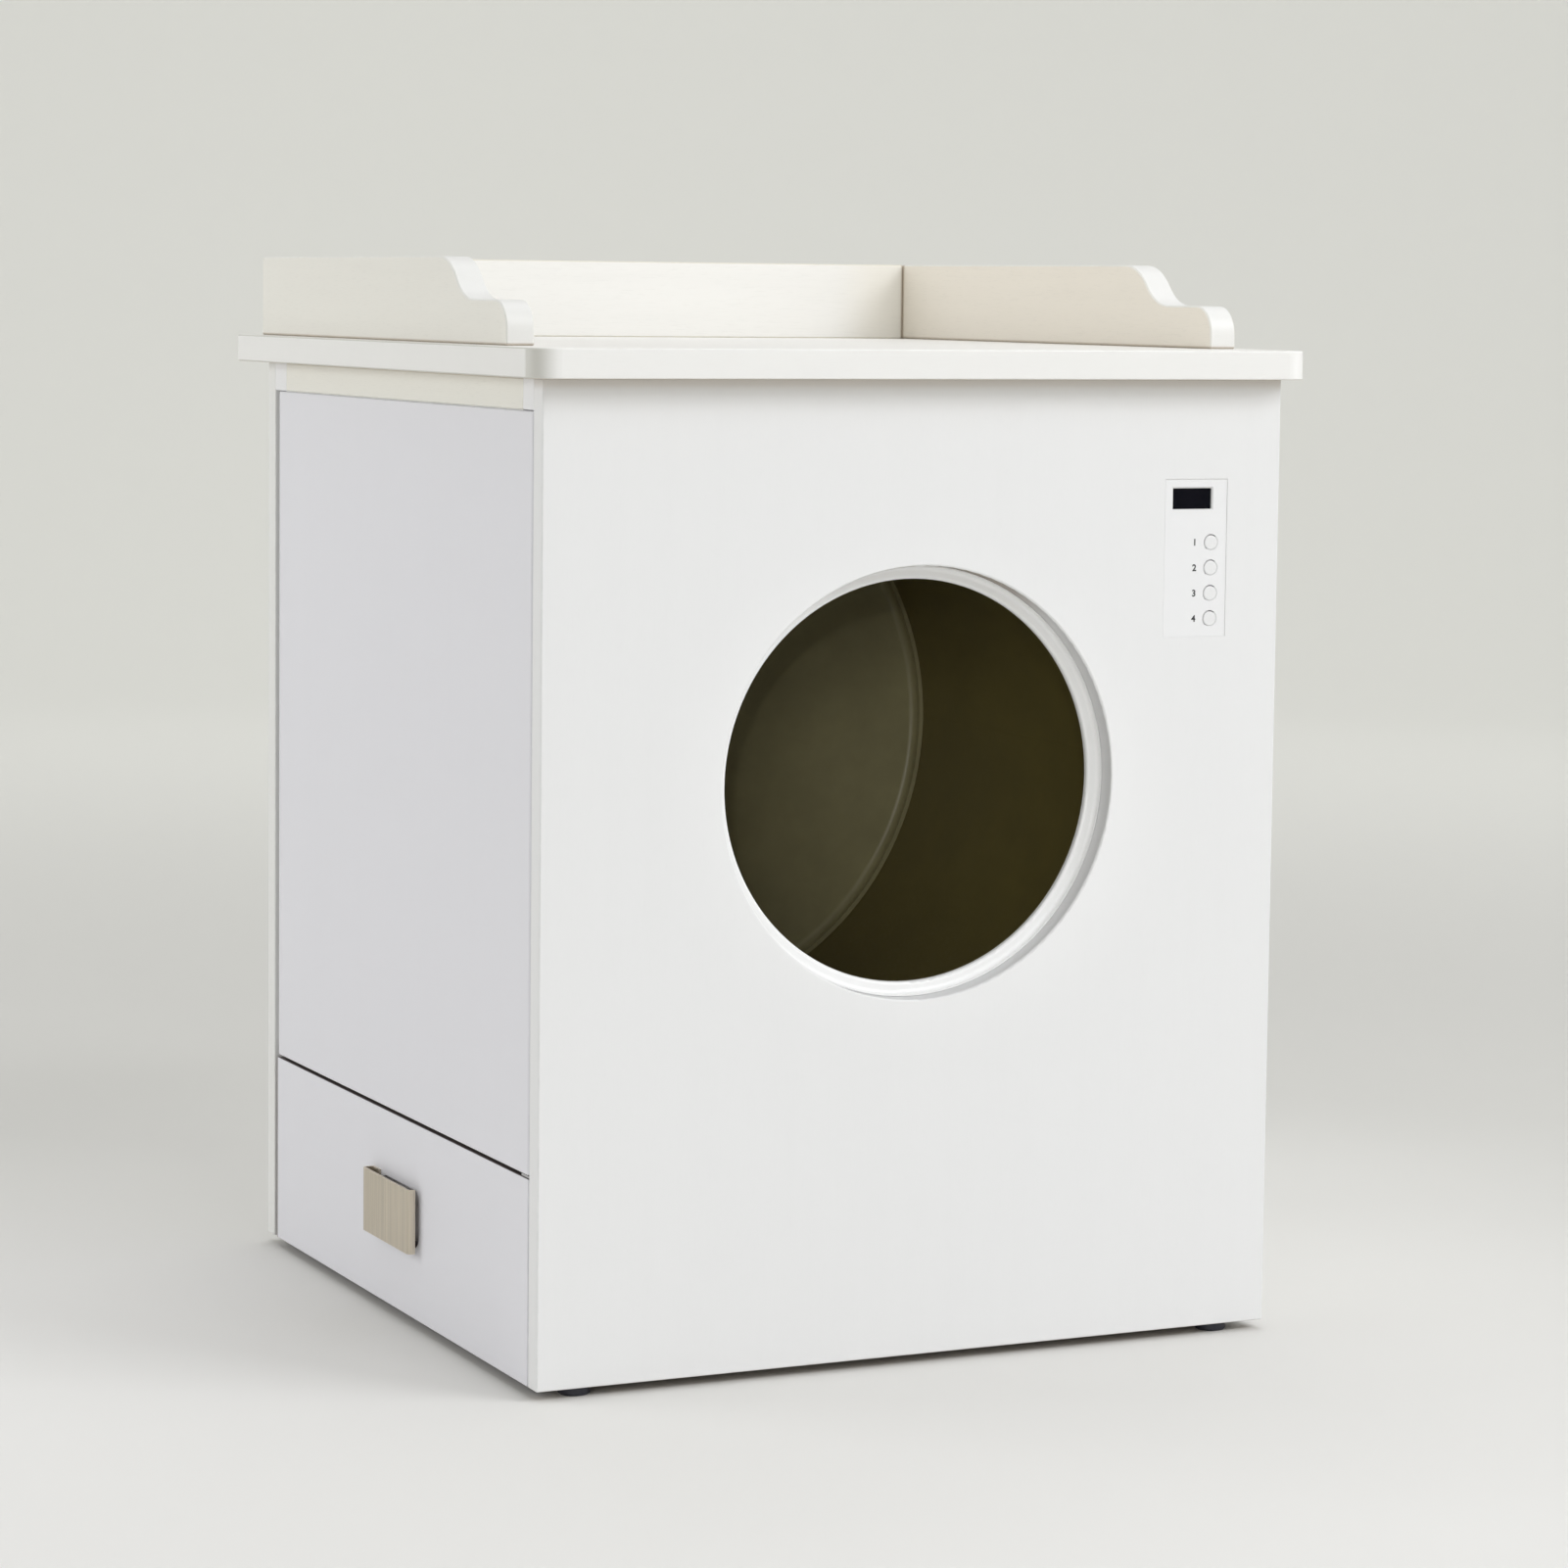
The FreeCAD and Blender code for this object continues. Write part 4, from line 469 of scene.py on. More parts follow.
FINISHES = {
    "front_board": (board, dict(colour=FRONT_WHITE, along="z", contrast=0.012, rough=0.45, relief=0.05)),
    "door_board": (board, dict(colour=DOOR_WHITE, along="z", contrast=0.012, rough=0.45, relief=0.05)),
    "top_board": (board, dict(colour=IVORY, along="x", contrast=0.045, rough=0.4, relief=0.12)),
    "rail_block": (board, dict(colour=(0.86, 0.86, 0.87), along="y", contrast=0.02)),
    "inner_board": (board, dict(colour=(0.82, 0.82, 0.80), along="z", contrast=0.02)),
    "drawer_board": (board, dict(colour=(0.80, 0.79, 0.75), along="x", contrast=0.05)),
    "collar_plastic": (moulded, dict(colour=(0.93, 0.93, 0.925), rough=0.3, contrast=0.02, relief=0.05)),
    "drum_plastic": (moulded, dict(colour=(0.207, 0.166, 0.047), rough=0.40, contrast=0.15, relief=0.12)),
    "sieve_plastic": (moulded, dict(colour=(0.035, 0.034, 0.028), rough=0.5, contrast=0.15)),
    "gear_plastic": (moulded, dict(colour=(0.72, 0.70, 0.62), rough=0.4, contrast=0.05)),
    "roller_rubber": (moulded, dict(colour=(0.03, 0.03, 0.03), rough=0.7, contrast=0.15, relief=0.3,
                                    grain=1500.0, wear=0.8 * MM)),
    "steel": (metal, dict(colour=(0.62, 0.62, 0.63), rough=0.34, along="y")),
    "zinc": (metal, dict(colour=(0.52, 0.52, 0.53), rough=0.45, relief=0.2)),
    "bush_brass": (metal, dict(colour=(0.66, 0.50, 0.26), rough=0.42, along="y")),
    "cradle_plastic": (moulded, dict(colour=(0.16, 0.16, 0.17), rough=0.5)),
    "gearbox_metal": (metal, dict(colour=(0.50, 0.50, 0.51), rough=0.42)),
    "motor_metal": (metal, dict(colour=(0.45, 0.45, 0.46), rough=0.3, along="y")),
    "sensor_plastic": (moulded, dict(colour=(0.025, 0.025, 0.026), rough=0.45)),
    "chute_plastic": (moulded, dict(colour=(0.19, 0.19, 0.19), rough=0.5)),
    "bin_plastic": (moulded, dict(colour=(0.22, 0.23, 0.24), rough=0.45)),
    "slide_plastic": (moulded, dict(colour=(0.74, 0.74, 0.72), rough=0.4, contrast=0.04)),
    "pull_nickel": (metal, dict(colour=(0.72, 0.65, 0.54), rough=0.42, contrast=0.26, relief=0.16)),
    "catch_plastic": (moulded, dict(colour=(0.74, 0.74, 0.71), rough=0.42, contrast=0.04)),
    "bezel_plastic": (moulded, dict(colour=(0.855, 0.855, 0.86), rough=0.36, contrast=0.015, relief=0.06)),
    "display_glass": (moulded, dict(colour=(0.0025, 0.0025, 0.006), rough=0.25, contrast=0.2, relief=0.01,
                                    wear=0.3 * MM, Specular_IOR_Level=0.1)),
    "button_plastic": (moulded, dict(colour=(0.83, 0.83, 0.83), rough=0.35, contrast=0.015, relief=0.06)),
    "circuit_board": (moulded, dict(colour=(0.02, 0.10, 0.045), rough=0.3)),
    "housing_plastic": (moulded, dict(colour=(0.70, 0.70, 0.69), rough=0.45, contrast=0.03)),
    "foot_plastic": (moulded, dict(colour=(0.02, 0.022, 0.035), rough=0.4)),
}


def shade(axis, level, reach, strength=0.6, colour=JOINT_STAIN_AND_SHADE):
    """A line of colour along a plane across the axis, which reaches some millimetres to each side; used both
    for stained joints and for bands of painted shade.
    """
    return axis, level, reach * MM, strength, colour


back_low, back_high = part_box("gallery_back_rail")
board_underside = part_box("top_board")[0][2]
drawer_rear_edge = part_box("drawer_front")[1][1]
# Dark line at the foot of the gallery rails: their joint with the top board, and painted shade in the crease
GALLERY_FOOT_JOINT_AND_SHADE = shade("z", back_low[2], 2.2, 0.7)
GALLERY_CREST = shade("z", back_high[2], 1.2, 0.3)
LEFT_JOINT = shade("x", back_low[0], 2.6)
RIGHT_JOINT = shade("x", back_high[0], 2.6)
REAR_JOINT = shade("y", back_low[1], 2.8)
# Painted warm shade on the back rail towards its right end
RIGHT_END_PAINTED_SHADE = shade("x", back_high[0], 60.0, 0.35, WARM_CORNER_PAINTED_SHADE)
# Dark line where the rail over the door meets the top board: their joint, and the painted shadow line under
# the top board
RAIL_JOINT_AND_SHADE = shade("z", board_underside, 1.6)
# Painted shadow on the front panel under the overhang of the top board
UNDER_BOARD_PAINTED_SHADOW = shade("z", board_underside, 8.0, 0.3)
# Painted shade on the drawer front near its rear edge, as in the gap behind it
DRAWER_GAP_PAINTED_SHADE = shade("y", drawer_rear_edge, 3.4, 0.85, GAP_SHADE)

# What a node's finish changes in the finish of its slot
NODE_FINISH = {
    # Painted shade on the top board's rounded corners at low X; its underside is pale bare board
    "top_board": dict(across="z", edging=EDGE_WHITE, corner=0.62, raw=(0.7, PALE_UNDERSIDE)),
    # The gallery rails and the rail over the door are of the top board's facing: their colours and edge
    # colours, matched one by one to how each is lit, are painted light and shade
    "gallery_left_rail": dict(colour=(0.858, 0.838, 0.775), along="y", across="x",
                              edging=(0.775, 0.77, 0.745), stains=[GALLERY_FOOT_JOINT_AND_SHADE]),
    "gallery_right_rail": dict(colour=(0.895, 0.84, 0.742), along="y", across="x",
                               edging=(0.815, 0.81, 0.785), stains=[GALLERY_FOOT_JOINT_AND_SHADE, REAR_JOINT]),
    "gallery_back_rail": dict(colour=(0.895, 0.885, 0.85), across="y", edging=(0.86, 0.82, 0.70),
                              stains=[RIGHT_END_PAINTED_SHADE, LEFT_JOINT, RIGHT_JOINT, GALLERY_CREST]),
    "left_top_rail": dict(colour=(0.845, 0.83, 0.765), along="y", stains=[RAIL_JOINT_AND_SHADE]),
    "front_panel": dict(raw=(0.8, RAW_BOARD), stains=[UNDER_BOARD_PAINTED_SHADOW]),
    # Painted gap shade on the door's and the drawer's faces that look down, on the drawer's faces that look
    # up, and on the drawer front near its rear edge
    "side_door": dict(raw=(1.0, GAP_SHADE)),
    "drawer_front": dict(along="y", raw=(1.0, GAP_SHADE), crest=1.0, stains=[DRAWER_GAP_PAINTED_SHADE]),
    "drawer_back": dict(along="y"),
    "bottom_panel": dict(along="x", raw=(0.9, RAW_BOARD)),
    "shelf": dict(along="x"),
    "drum_rear_cap": dict(colour=(0.40, 0.365, 0.20)),
}


def piece_finish(slot, name, low, high, changes):
    """The finish of a slot, with wear at the box edges of one piece and with its changes."""
    make, values = FINISHES[slot]
    return make(slot + "_" + name, tuple(low), tuple(high), **{**values, **changes})


def dress_nodes():
    """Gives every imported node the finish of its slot."""
    slots = {row["node"]: row["material_slot"] for row in frame["record"]["subparts"]}
    for name, node in nodes.items():
        low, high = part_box(name)
        node.data.materials.clear()
        node.data.materials.append(piece_finish(slots[name], name, low, high, NODE_FINISH.get(name, {})))


def mesh_box(mesh):
    """Lowest and highest corners of a mesh."""
    low = tuple(min(vert.co[axis] for vert in mesh.vertices) for axis in range(3))
    high = tuple(max(vert.co[axis] for vert in mesh.vertices) for axis in range(3))
    return low, high


# Numerals beside the buttons

NUMERAL_HEIGHT = 4.2 * MM
NUMERAL_EM = 1.38
NUMERAL_THICKNESS = 0.06 * MM
NUMERAL_WEIGHT = 0.16 * MM
NUMERAL_X = 189.5 * MM
NUMERAL_MERGE = 0.001 * MM


def numeral_mesh(text, spot):
    """A flat mesh of one numeral that stands upright at the spot."""
    curve = bpy.data.curves.new("numeral", "FONT")
    curve.body = text
    curve.size = NUMERAL_HEIGHT * NUMERAL_EM
    curve.extrude = NUMERAL_THICKNESS / 2
    curve.offset = NUMERAL_WEIGHT
    curve.align_x = "CENTER"
    curve.align_y = "CENTER"
    holder = linked("numeral", curve)
    bpy.context.view_layer.update()
    drawn = holder.evaluated_get(bpy.context.evaluated_depsgraph_get())
    flat = bpy.data.meshes.new_from_object(drawn)
    upright = Matrix.Rotation(math.radians(90), 4, "X")
    flat.transform(Matrix.Translation(spot) @ upright)
    bpy.data.objects.remove(holder)
    bpy.data.curves.remove(curve)
    return flat


def numerals():
    """Printed numerals 1 to 4, one left of each button, on the face of the bezel."""
    plate_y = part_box("control_bezel")[0][1]
    merged = bmesh.new()
    for number in BUTTON_NUMBERS:
        low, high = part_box("button_" + str(number))
        spot = Vector((NUMERAL_X, plate_y - NUMERAL_THICKNESS / 2, (low[2] + high[2]) / 2))
        flat = numeral_mesh(str(number), spot)
        merged.from_mesh(flat)
        bpy.data.meshes.remove(flat)
    mesh = bpy.data.meshes.new("button_numerals")
    bmesh.ops.remove_doubles(merged, verts=merged.verts, dist=NUMERAL_MERGE)
    bmesh.ops.recalc_face_normals(merged, faces=merged.faces)
    merged.to_mesh(mesh)
    merged.free()
    ink = moulded("numeral_ink", *mesh_box(mesh), NUMERAL_INK, rough=0.55, contrast=0.1, relief=0.05)
    mesh.materials.append(ink)
    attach(linked("button_numerals", mesh), "cabinet")


# Gaskets and strips: measures in metres, the arc of the lips in degrees

BEZEL_GAP = 0.4 * MM
GASKET_INSET = 0.15 * MM
GASKET_DEPTH = 0.8 * MM
WELL_R = 5.2 * MM
LIP_WIDTH = 0.5 * MM
LIP_INSET = 0.3 * MM
LIP_DEPTH = 0.5 * MM
LIP_ARC = (-125.0, 50.0)
LIP_STEPS = 40
STRIP_T = 0.38 * MM
STRIP_INSET = 0.25 * MM
STRIP_WIDTH = 10.0 * MM


def rectangle(low, high, grow):
    """Corners of a box as X, Z, each side moved outwards by grow."""
    left, right = low[0] - grow, high[0] + grow
    foot, top = low[2] - grow, high[2] + grow
    return [(left, foot), (right, foot), (right, top), (left, top)]


def arc(x, z, radius):
    """Points of the lips' arc as X, Z, round a centre."""
    start, stop = LIP_ARC
    turns = [math.radians(start + (stop - start) * step / LIP_STEPS) for step in range(LIP_STEPS + 1)]
    return [(x + radius * math.cos(turn), z + radius * math.sin(turn)) for turn in turns]


def frame_mesh(made, outer, inner, front, back):
    """Adds a closed frame between two outlines of X, Z points, from one Y to another."""
    loops = []
    for outline in (outer, inner):
        for y in (front, back):
            loops.append([made.verts.new((x, y, z)) for x, z in outline])
    outer_front, outer_back, inner_front, inner_back = loops
    for index in range(len(outer)):
        after = (index + 1) % len(outer)
        for first, second in ((outer_front, inner_front), (inner_front, inner_back),
                              (inner_back, outer_back), (outer_back, outer_front)):
            made.faces.new((first[index], second[index], second[after], first[after]))


def bent_bar_mesh(made, outer, inner, front, back):
    """Adds a closed bent bar between two arcs of X, Z points, from one Y to another."""
    rings = []
    for far, near in zip(outer, inner):
        corners = ((far, front), (near, front), (near, back), (far, back))
        rings.append([made.verts.new((x, y, z)) for (x, z), y in corners])
    for first, second in zip(rings, rings[1:]):
        for index in range(4):
            after = (index + 1) % 4
            made.faces.new((first[index], first[after], second[after], second[index]))
    made.faces.new(rings[0])
    made.faces.new(rings[-1])


def box_mesh(made, low, high):
    verts = [made.verts.new((x, y, z)) for x in (low[0], high[0]) for y in (low[1], high[1])
             for z in (low[2], high[2])]
    for face in ((0, 1, 3, 2), (4, 6, 7, 5), (0, 4, 5, 1), (2, 3, 7, 6), (0, 2, 6, 4), (1, 5, 7, 3)):
        made.faces.new([verts[index] for index in face])


def cabinet_trim(name, made, slot, **changes):
    """Turns the bmesh into a piece that rides on the cabinet."""
    bmesh.ops.recalc_face_normals(made, faces=made.faces)
    mesh = bpy.data.meshes.new(name)
    made.to_mesh(mesh)
    made.free()
    mesh.materials.append(piece_finish(slot, name, *mesh_box(mesh), changes))
    piece = linked(name, mesh)
    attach(piece, "cabinet")


def control_gasket():
    """A gasket round the bezel."""
    low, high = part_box("control_bezel")
    front = low[1] + GASKET_INSET
    made = bmesh.new()
    frame_mesh(made, rectangle(low, high, BEZEL_GAP), rectangle(low, high, 0.0), front, front + GASKET_DEPTH)
    cabinet_trim("control_gasket", made, "bezel_plastic")


def button_well_lips():
    """A bent lip in each button well, open at the upper left."""
    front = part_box("control_bezel")[0][1] + LIP_INSET
    made = bmesh.new()
    for number in BUTTON_NUMBERS:
        low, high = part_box("button_" + str(number))
        x, z = (low[0] + high[0]) / 2, (low[2] + high[2]) / 2
        bent_bar_mesh(made, arc(x, z, WELL_R), arc(x, z, WELL_R - LIP_WIDTH), front, front + LIP_DEPTH)
    cabinet_trim("button_well_lips", made, "bezel_plastic")


def door_strip():
    """A thin pale strip under the rail over the door."""
    low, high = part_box("left_top_rail")
    made = bmesh.new()
    box_mesh(made, (low[0] + STRIP_INSET, low[1], low[2] - STRIP_T), (low[0] + STRIP_WIDTH, high[1], low[2]))
    cabinet_trim("door_top_strip", made, "inner_board", along="y", contrast=0.03)


# Screws

SCREW_NODES = {
    "hardware_screws": "cabinet",
    "panel_screws": "cabinet",
    "drum_screws": "drum",
    "pull_screws": "drawer",
}

# Shares of the head's radius: crown, cross recess and the pit in its middle
CROWN_TOP = 0.9
ARM_LENGTH = 1.16
ARM_WIDTH = 0.22
PIT_TOP = 0.30
PIT_FOOT = 0.08

# Shares of the head's height
CROWN_HEIGHT = 0.25
ARM_HEIGHT = 1.1
PIT_HEIGHT = 0.7
PIT_DROP = 0.69

# Shares of the shank's radius, and of its length for the thread's length
CORE_R = 0.78
THREAD_R = 0.8
THREAD_PITCH = 0.8
RIDGE_R = 0.16
THREAD_LENGTH = 0.9

HEAD_SIDES = 40
PIT_SIDES = 12
CORE_SIDES = 16
THREAD_STEPS = 12
RIDGE_SIDES = 4
SPIN_SEED = 7

# How screws are found in a node: merging distance, and what counts as the head's rim and the tip
ISLAND_MERGE = 0.002 * MM
HEAD_RIM = 0.9
TIP_BAND = 0.1 * MM
SIZE_DIGITS = 5


class GeometryWiring(Wiring):
    """Wiring of a geometry tree with named inputs."""

    def __init__(self, name, inputs):
        super().__init__(bpy.data.node_groups.new(name, "GeometryNodeTree"))
        for label, kind in inputs:
            self.tree.interface.new_socket(label, in_out="INPUT", socket_type="NodeSocket" + kind)
        self.tree.interface.new_socket("Mesh", in_out="OUTPUT", socket_type="NodeSocketGeometry")
        self.given = self.tree.nodes.new("NodeGroupInput").outputs
        self.result = self.tree.nodes.new("NodeGroupOutput").inputs

    def feed(self, socket, value):
        """Takes a list too, where several meshes join in one socket."""
        for part in value if isinstance(value, list) else [value]:
            super().feed(socket, part)

    def form(self, kind, inputs, **settings):
        """What a geometry node makes."""
        return self.add("GeometryNode" + kind, inputs, settings).outputs[0]

    def turn(self, kind, inputs, **settings):
        """What a function node on rotations gives."""
        return self.add("FunctionNode" + kind, inputs, settings).outputs[0]

    def size(self, x, y, z):
        return self.node("CombineXYZ", {0: x, 1: y, 2: z}).outputs[0]

    def lifted(self, mesh, height):
        """The mesh moved along Z."""
        return self.form("Transform", {"Geometry": mesh, "Translation": self.size(0.0, 0.0, height)})


def screw_head(wires):
    """A crowned round head below its top, with a cross recess and a pit in its middle."""
    radius, height = wires.given["Head Radius"], wires.given["Head Height"]
    crown = wires.form("MeshCone", {
        "Vertices": HEAD_SIDES, "Radius Top": wires.times(radius, CROWN_TOP), "Radius Bottom": radius,
        "Depth": wires.times(height, CROWN_HEIGHT)})
    crown = wires.lifted(crown, wires.times(height, -CROWN_HEIGHT))
    rim = wires.form("MeshCylinder", {
        "Vertices": HEAD_SIDES, "Radius": radius, "Depth": wires.times(height, 1 - CROWN_HEIGHT)})
    rim = wires.lifted(rim, wires.times(height, -(1 + CROWN_HEIGHT) / 2))
    solid = wires.form("MeshBoolean", {"Mesh 2": [crown, rim]}, operation="UNION")
    arm = wires.times(radius, ARM_LENGTH)
    slim = wires.times(radius, ARM_WIDTH)
    deep = wires.times(height, ARM_HEIGHT)
    level = wires.form("MeshCube", {"Size": wires.size(arm, slim, deep)})
    upright = wires.form("MeshCube", {"Size": wires.size(slim, arm, deep)})
    pit = wires.form("MeshCone", {
        "Vertices": PIT_SIDES, "Radius Top": wires.times(radius, PIT_TOP),
        "Radius Bottom": wires.times(radius, PIT_FOOT), "Depth": wires.times(height, PIT_HEIGHT)})
    pit = wires.lifted(pit, wires.times(height, -PIT_DROP))
    return wires.form("MeshBoolean", {"Mesh 1": solid, "Mesh 2": [level, upright, pit]},
                      operation="DIFFERENCE")


def screw_shank(wires):
    """The core and the thread of the shank, as two meshes under the head."""
    head_height = wires.given["Head Height"]
    radius, length = wires.given["Shank Radius"], wires.given["Shank Length"]
    core = wires.form("MeshCylinder", {
        "Vertices": CORE_SIDES, "Radius": wires.times(radius, CORE_R), "Depth": length})
    core = wires.lifted(core, wires.minus(wires.times(length, -0.5), head_height))
    thread_r = wires.times(radius, THREAD_R)
    turns = wires.math("DIVIDE", length, wires.times(radius, THREAD_PITCH))
    spiral = wires.form("CurveSpiral", {
        "Resolution": THREAD_STEPS, "Rotations": turns, "Start Radius": thread_r, "End Radius": thread_r,
        "Height": wires.times(length, THREAD_LENGTH)})
    ridge = wires.form("CurvePrimitiveCircle", {
        "Resolution": RIDGE_SIDES, "Radius": wires.times(radius, RIDGE_R)})
    thread = wires.form("CurveToMesh", {"Curve": spiral, "Profile Curve": ridge, "Fill Caps": True})
    drop = wires.minus(wires.times(length, -(1 + THREAD_LENGTH) / 2), head_height)
    return core, wires.lifted(thread, drop)


def screw_tree():
    """A screw with a cross recess and a thread on every point, turned along the point's axis."""
    wires = GeometryWiring("cross_recess_screws", [
        ("Points", "Geometry"), ("Head Radius", "Float"), ("Head Height", "Float"),
        ("Shank Radius", "Float"), ("Shank Length", "Float"), ("Finish", "Material")])
    head = screw_head(wires)
    core, thread = screw_shank(wires)
    screw = wires.form("JoinGeometry", {0: [head, core, thread]})
    axis = wires.form("InputNamedAttribute", {"Name": "axis"}, data_type="FLOAT_VECTOR")
    along = wires.turn("AlignRotationToVector", {"Vector": axis}, axis="Z")
    spin = wires.turn("RandomValue", {"Max": (0.0, 0.0, 2 * math.pi), "Seed": SPIN_SEED},
                      data_type="FLOAT_VECTOR")
    spin = wires.turn("EulerToRotation", {0: spin})
    turned = wires.turn("RotateRotation", {0: along, 1: spin}, rotation_space="LOCAL")
    placed = wires.form("InstanceOnPoints", {
        "Points": wires.given["Points"], "Instance": screw, "Rotation": turned})
    real = wires.form("RealizeInstances", {0: placed})
    coated = wires.form("SetMaterial", {"Geometry": real, "Material": wires.given["Finish"]})
    wires.feed(wires.result["Mesh"], coated)
    return wires.tree


def islands(name):
    """Points, and face normals with areas, of each separate solid of a node, always in the same order."""
    copy = bmesh.new()
    copy.from_mesh(nodes[name].data)
    bmesh.ops.remove_doubles(copy, verts=copy.verts, dist=ISLAND_MERGE)
    copy.verts.ensure_lookup_table()
    found = []
    seen = set()
    for start in copy.verts:
        if start in seen:
            continue
        seen.add(start)
        group = []
        waiting = [start]
        faces = {}
        while waiting:
            vert = waiting.pop()
            group.append(vert.co.copy())
            faces.update(dict.fromkeys(vert.link_faces))
            for edge in vert.link_edges:
                other = edge.other_vert(vert)
                if other not in seen:
                    seen.add(other)
                    waiting.append(other)
        found.append((group, [(face.normal.copy(), face.calc_area()) for face in faces]))
    copy.free()
    return found


def screw_measures(points, faces):
    """Place of the head's outer face, outward axis and the four sizes of one screw solid."""
    spread = numpy.zeros((3, 3))
    for normal, area in faces:
        spread += area * numpy.outer(normal, normal)
    shares, ways = numpy.linalg.eigh(spread)
    pick = 0 if shares[1] - shares[0] > shares[2] - shares[1] else 2
    axis = Vector(ways[:, pick])
    middle = sum(points, Vector()) / len(points)
    heights = [(point - middle).dot(axis) for point in points]
    widths = [((point - middle) - axis * height).length for point, height in zip(points, heights)]
    head_r = max(widths)
    rim = [height for height, width in zip(heights, widths) if width > HEAD_RIM * head_r]
    if abs(max(rim) - max(heights)) > abs(min(rim) - min(heights)):
        axis = -axis
        heights = [-height for height in heights]
        rim = [-height for height in rim]
    top = max(heights)
    seat = min(rim)
    tip = min(heights)
    shank_r = max(width for height, width in zip(heights, widths) if height < tip + TIP_BAND)
    sizes = tuple(round(size, SIZE_DIGITS) for size in (head_r, top - seat, shank_r, seat - tip))
    return middle + axis * top, axis, sizes


def screws_at(spots, sizes, tree, finish):
    """A plain mesh of equal screws, one at each place and axis."""
    seed = bpy.data.meshes.new("screw_points")
    seed.from_pydata([tuple(place) for place, axis in spots], [], [])
    way = seed.attributes.new("axis", "FLOAT_VECTOR", "POINT")
    for index, (place, axis) in enumerate(spots):
        way.data[index].vector = axis
    holder = linked("screw_points", seed)
    maker = holder.modifiers.new("screws", "NODES")
    maker.node_group = tree
    keys = {item.name: item.identifier for item in tree.interface.items_tree if item.in_out == "INPUT"}
    for label, size in zip(("Head Radius", "Head Height", "Shank Radius", "Shank Length"), sizes):
        maker[keys[label]] = size
    maker[keys["Finish"]] = finish
    bpy.context.view_layer.update()
    drawn = holder.evaluated_get(bpy.context.evaluated_depsgraph_get())
    plain = bpy.data.meshes.new_from_object(drawn)
    bpy.data.objects.remove(holder)
    bpy.data.meshes.remove(seed)
    return plain


def screws():
    """Replaces each node of screws by screws with a recess, at the same places and of the same sizes."""
    tree = screw_tree()
    for name, body in SCREW_NODES.items():
        low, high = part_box(name)
        finish = metal("screw_steel_" + name, tuple(low), tuple(high), SCREW_STEEL, rough=0.3, along="y")
        kinds = {}
        for points, faces in islands(name):
            place, axis, sizes = screw_measures(points, faces)
            kinds.setdefault(sizes, []).append((place, axis))
        merged = bmesh.new()
        for sizes, spots in kinds.items():
            plain = screws_at(spots, sizes, tree, finish)
            merged.from_mesh(plain)
            bpy.data.meshes.remove(plain)
        mesh = bpy.data.meshes.new(name + "_cut")
        merged.to_mesh(mesh)
        merged.free()
        mesh.materials.append(finish)
        piece = linked(name + "_cut", mesh)
        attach(piece, body)
        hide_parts(name)


# Ground, backdrop and lights: places and sizes in metres, powers in watts, the cone in degrees

# Painted light and shade on the ground: paler near the object, darker in a ring round it, paler again far
# away
GROUND_NEAR_PAINTED_LIGHT = (0.768, 0.759, 0.732)
GROUND_RING_PAINTED_SHADOW = (0.60, 0.593, 0.562)
GROUND_FAR_PAINTED_LIGHT = (0.862, 0.858, 0.812)
GROUND_CENTRE = (-0.25, -0.35, 0.0)
SHADOW_RING_BAND = (0.5, 1.3)
FAR_LIGHT_BAND = (1.6, 4.4)
GROUND_RINGS = (1.0, 2.5, 4.2)
BEND_R = 3.0
BEND_STEPS = 12
BACKDROP_TOP = 9.0
GROUND_SIDES = 96
PAPER_SCALE = 3.0
PAPER_SWING = 0.06
PAPER_ROUGH = 0.85

WORLD_COLOUR = (0.985, 0.99, 1.0)
WORLD_STRENGTH = 0.38
LAMP_COLOUR = (0.955, 0.965, 1.0)
MIDDLE = (0.0, 0.0, 0.35)
LAMPS = {
    # name: place, what it points at, size, power
    "key_softbox": ((2.4, -2.8, 3.0), MIDDLE, (2.0, 2.0), 73.0),
    "right_panel": ((3.4, -1.5, 1.3), MIDDLE, (1.8, 1.8), 22.0),
    "left_panel": ((-2.2, 1.1, 1.0), MIDDLE, (1.4, 1.4), 17.5),
    "top_panel": ((0.2, 0.3, 3.4), (0.0, 0.0, 0.5), (2.6, 2.6), 27.0),
    "front_softbox": ((0.2, -3.6, 3.2), MIDDLE, (2.0, 2.0), 30.0),
    "low_fill": ((-2.3, -3.0, 0.9), (0.0, 0.0, 0.36), (1.2, 1.2), 13.0),
    "backdrop_right": ((1.0, 2.0, 4.6), (2.6, 6.2, 1.2), (3.0, 1.6), 66.0),
    "backdrop_left": ((-2.5, 2.5, 4.6), (-0.4, 6.6, 1.2), (3.0, 1.6), 9.0),
}
SPOT_PLACE = (-1.55, -3.3, 0.85)
SPOT_TARGET = (0.012, -0.235, 0.352)
SPOT_CONE = 4.1
SPOT_POWER = 60.0
SPOT_BLEND = 0.35
SPOT_SOFTNESS = 0.05
SPOT_COLOUR = (1.0, 0.99, 0.97)


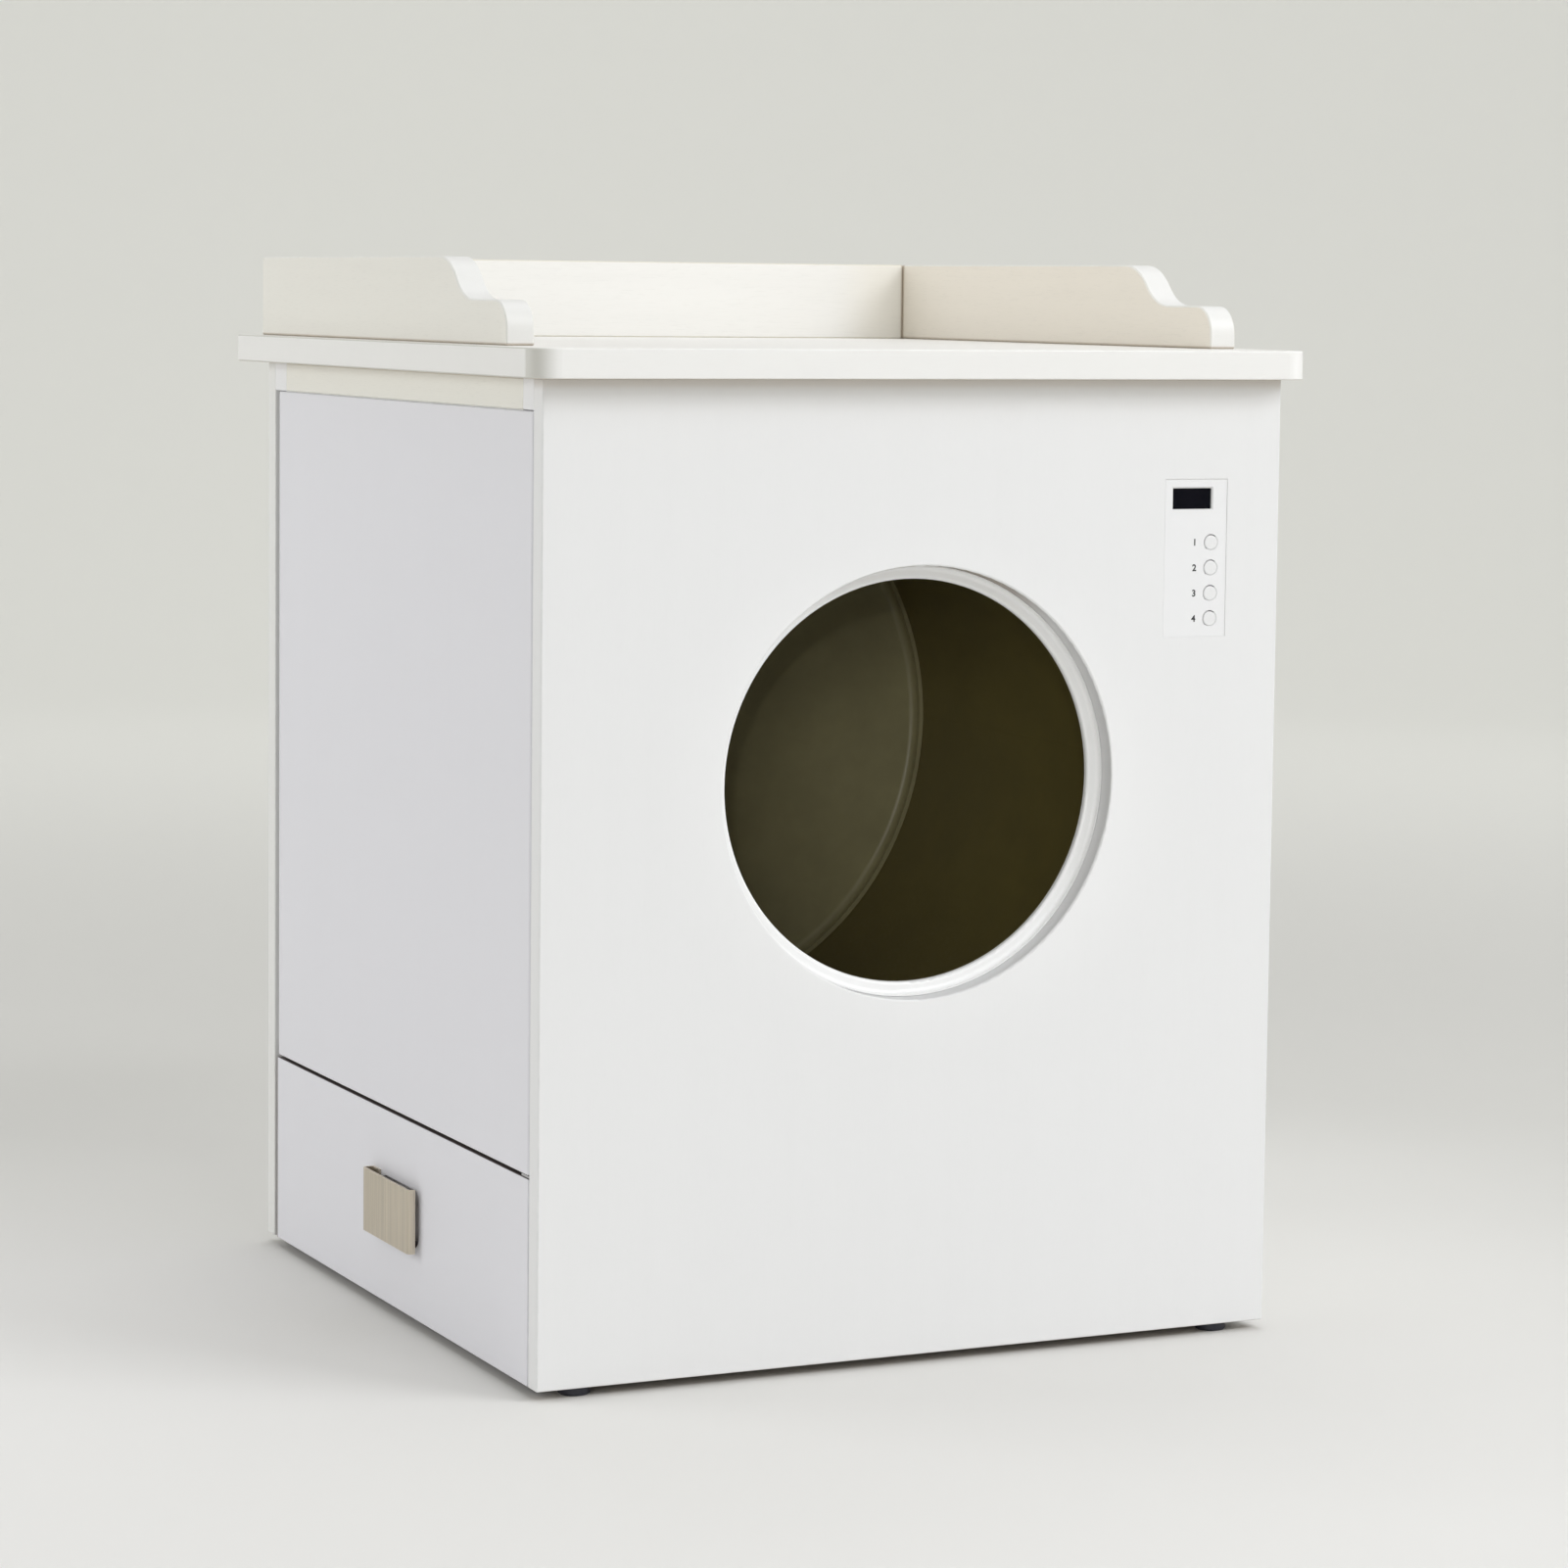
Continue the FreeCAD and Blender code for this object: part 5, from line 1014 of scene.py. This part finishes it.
def ground_mesh():
    """A round floor whose rim rises in a wide bend to an upright backdrop."""
    profile = [(radius, 0.0) for radius in GROUND_RINGS]
    flat_r = GROUND_RINGS[-1]
    for step in range(1, BEND_STEPS + 1):
        angle = math.radians(90 * step / BEND_STEPS)
        profile.append((flat_r + BEND_R * math.sin(angle), BEND_R - BEND_R * math.cos(angle)))
    profile.append((flat_r + BEND_R, BACKDROP_TOP))
    made = bmesh.new()
    middle = made.verts.new((0, 0, 0))
    turns = [2 * math.pi * index / GROUND_SIDES for index in range(GROUND_SIDES)]
    rings = []
    for radius, height in profile:
        rings.append([made.verts.new((radius * math.cos(turn), radius * math.sin(turn), height))
                      for turn in turns])
    for index in range(GROUND_SIDES):
        after = (index + 1) % GROUND_SIDES
        made.faces.new((middle, rings[0][index], rings[0][after]))
        for inner, outer in zip(rings, rings[1:]):
            made.faces.new((inner[index], outer[index], outer[after], inner[after]))
    for face in made.faces:
        face.smooth = True
    mesh = bpy.data.meshes.new("ground")
    made.to_mesh(mesh)
    made.free()
    return mesh


def ground_paper():
    """Matt paper with painted light and shade: a painted shadow darkens it in a ring round the object, and
    it is paler far away as if more brightly lit.
    """
    finish = Finish("ground_paper", (0, 0, 0), (1, 1, 1))
    flat = finish.vector("MULTIPLY", finish.vector("SUBTRACT", finish.place, GROUND_CENTRE), (1.0, 1.0, 0.0))
    reach = finish.node("VectorMath", {0: flat}, operation="LENGTH").outputs["Value"]
    paper = finish.times(finish.minus(finish.noise(finish.place, PAPER_SCALE, 4.0, 0.6), 0.5), PAPER_SWING)
    share = finish.math("ADD", finish.spread(reach, *SHADOW_RING_BAND), paper, clamp=True)
    tone = finish.blend(share, rgb(GROUND_NEAR_PAINTED_LIGHT), rgb(GROUND_RING_PAINTED_SHADOW))
    tone = finish.blend(finish.spread(reach, *FAR_LIGHT_BAND), tone, rgb(GROUND_FAR_PAINTED_LIGHT))
    finish.feed(finish.shader.inputs["Base Color"], tone)
    finish.feed(finish.shader.inputs["Roughness"], PAPER_ROUGH)
    return finish.material


def stage_ground():
    ground = linked("ground", ground_mesh())
    ground.data.materials.append(ground_paper())


def place_lamp(name, data, place, target):
    """A lamp at a place that points at its target."""
    lamp = linked(name, data)
    lamp.location = place
    lamp.rotation_euler = (Vector(target) - Vector(place)).to_track_quat("-Z", "Y").to_euler()
    lamp.visible_camera = False


def area_light(name, place, target, size, power):
    data = bpy.data.lights.new(name, "AREA")
    data.shape = "RECTANGLE"
    data.size, data.size_y = size
    data.energy = power
    data.color = LAMP_COLOUR
    place_lamp(name, data, place, target)


def entrance_spot():
    """Narrow lamp whose cone fills the entrance, so that the drum's inside shows."""
    data = bpy.data.lights.new("entrance_spot", "SPOT")
    data.energy = SPOT_POWER
    data.spot_size = math.radians(SPOT_CONE)
    data.spot_blend = SPOT_BLEND
    data.shadow_soft_size = SPOT_SOFTNESS
    data.color = SPOT_COLOUR
    place_lamp("entrance_spot", data, SPOT_PLACE, SPOT_TARGET)


def lights():
    world = bpy.data.worlds.new("soft_room")
    world.use_nodes = True
    background = world.node_tree.nodes["Background"]
    background.inputs["Color"].default_value = rgb(WORLD_COLOUR)
    background.inputs["Strength"].default_value = WORLD_STRENGTH
    scene.world = world
    for name, settings in LAMPS.items():
        area_light(name, *settings)
    entrance_spot()


camera()
dress_nodes()
numerals()
control_gasket()
button_well_lips()
door_strip()
screws()
stage_ground()
lights()
scene.view_settings.view_transform = "Standard"
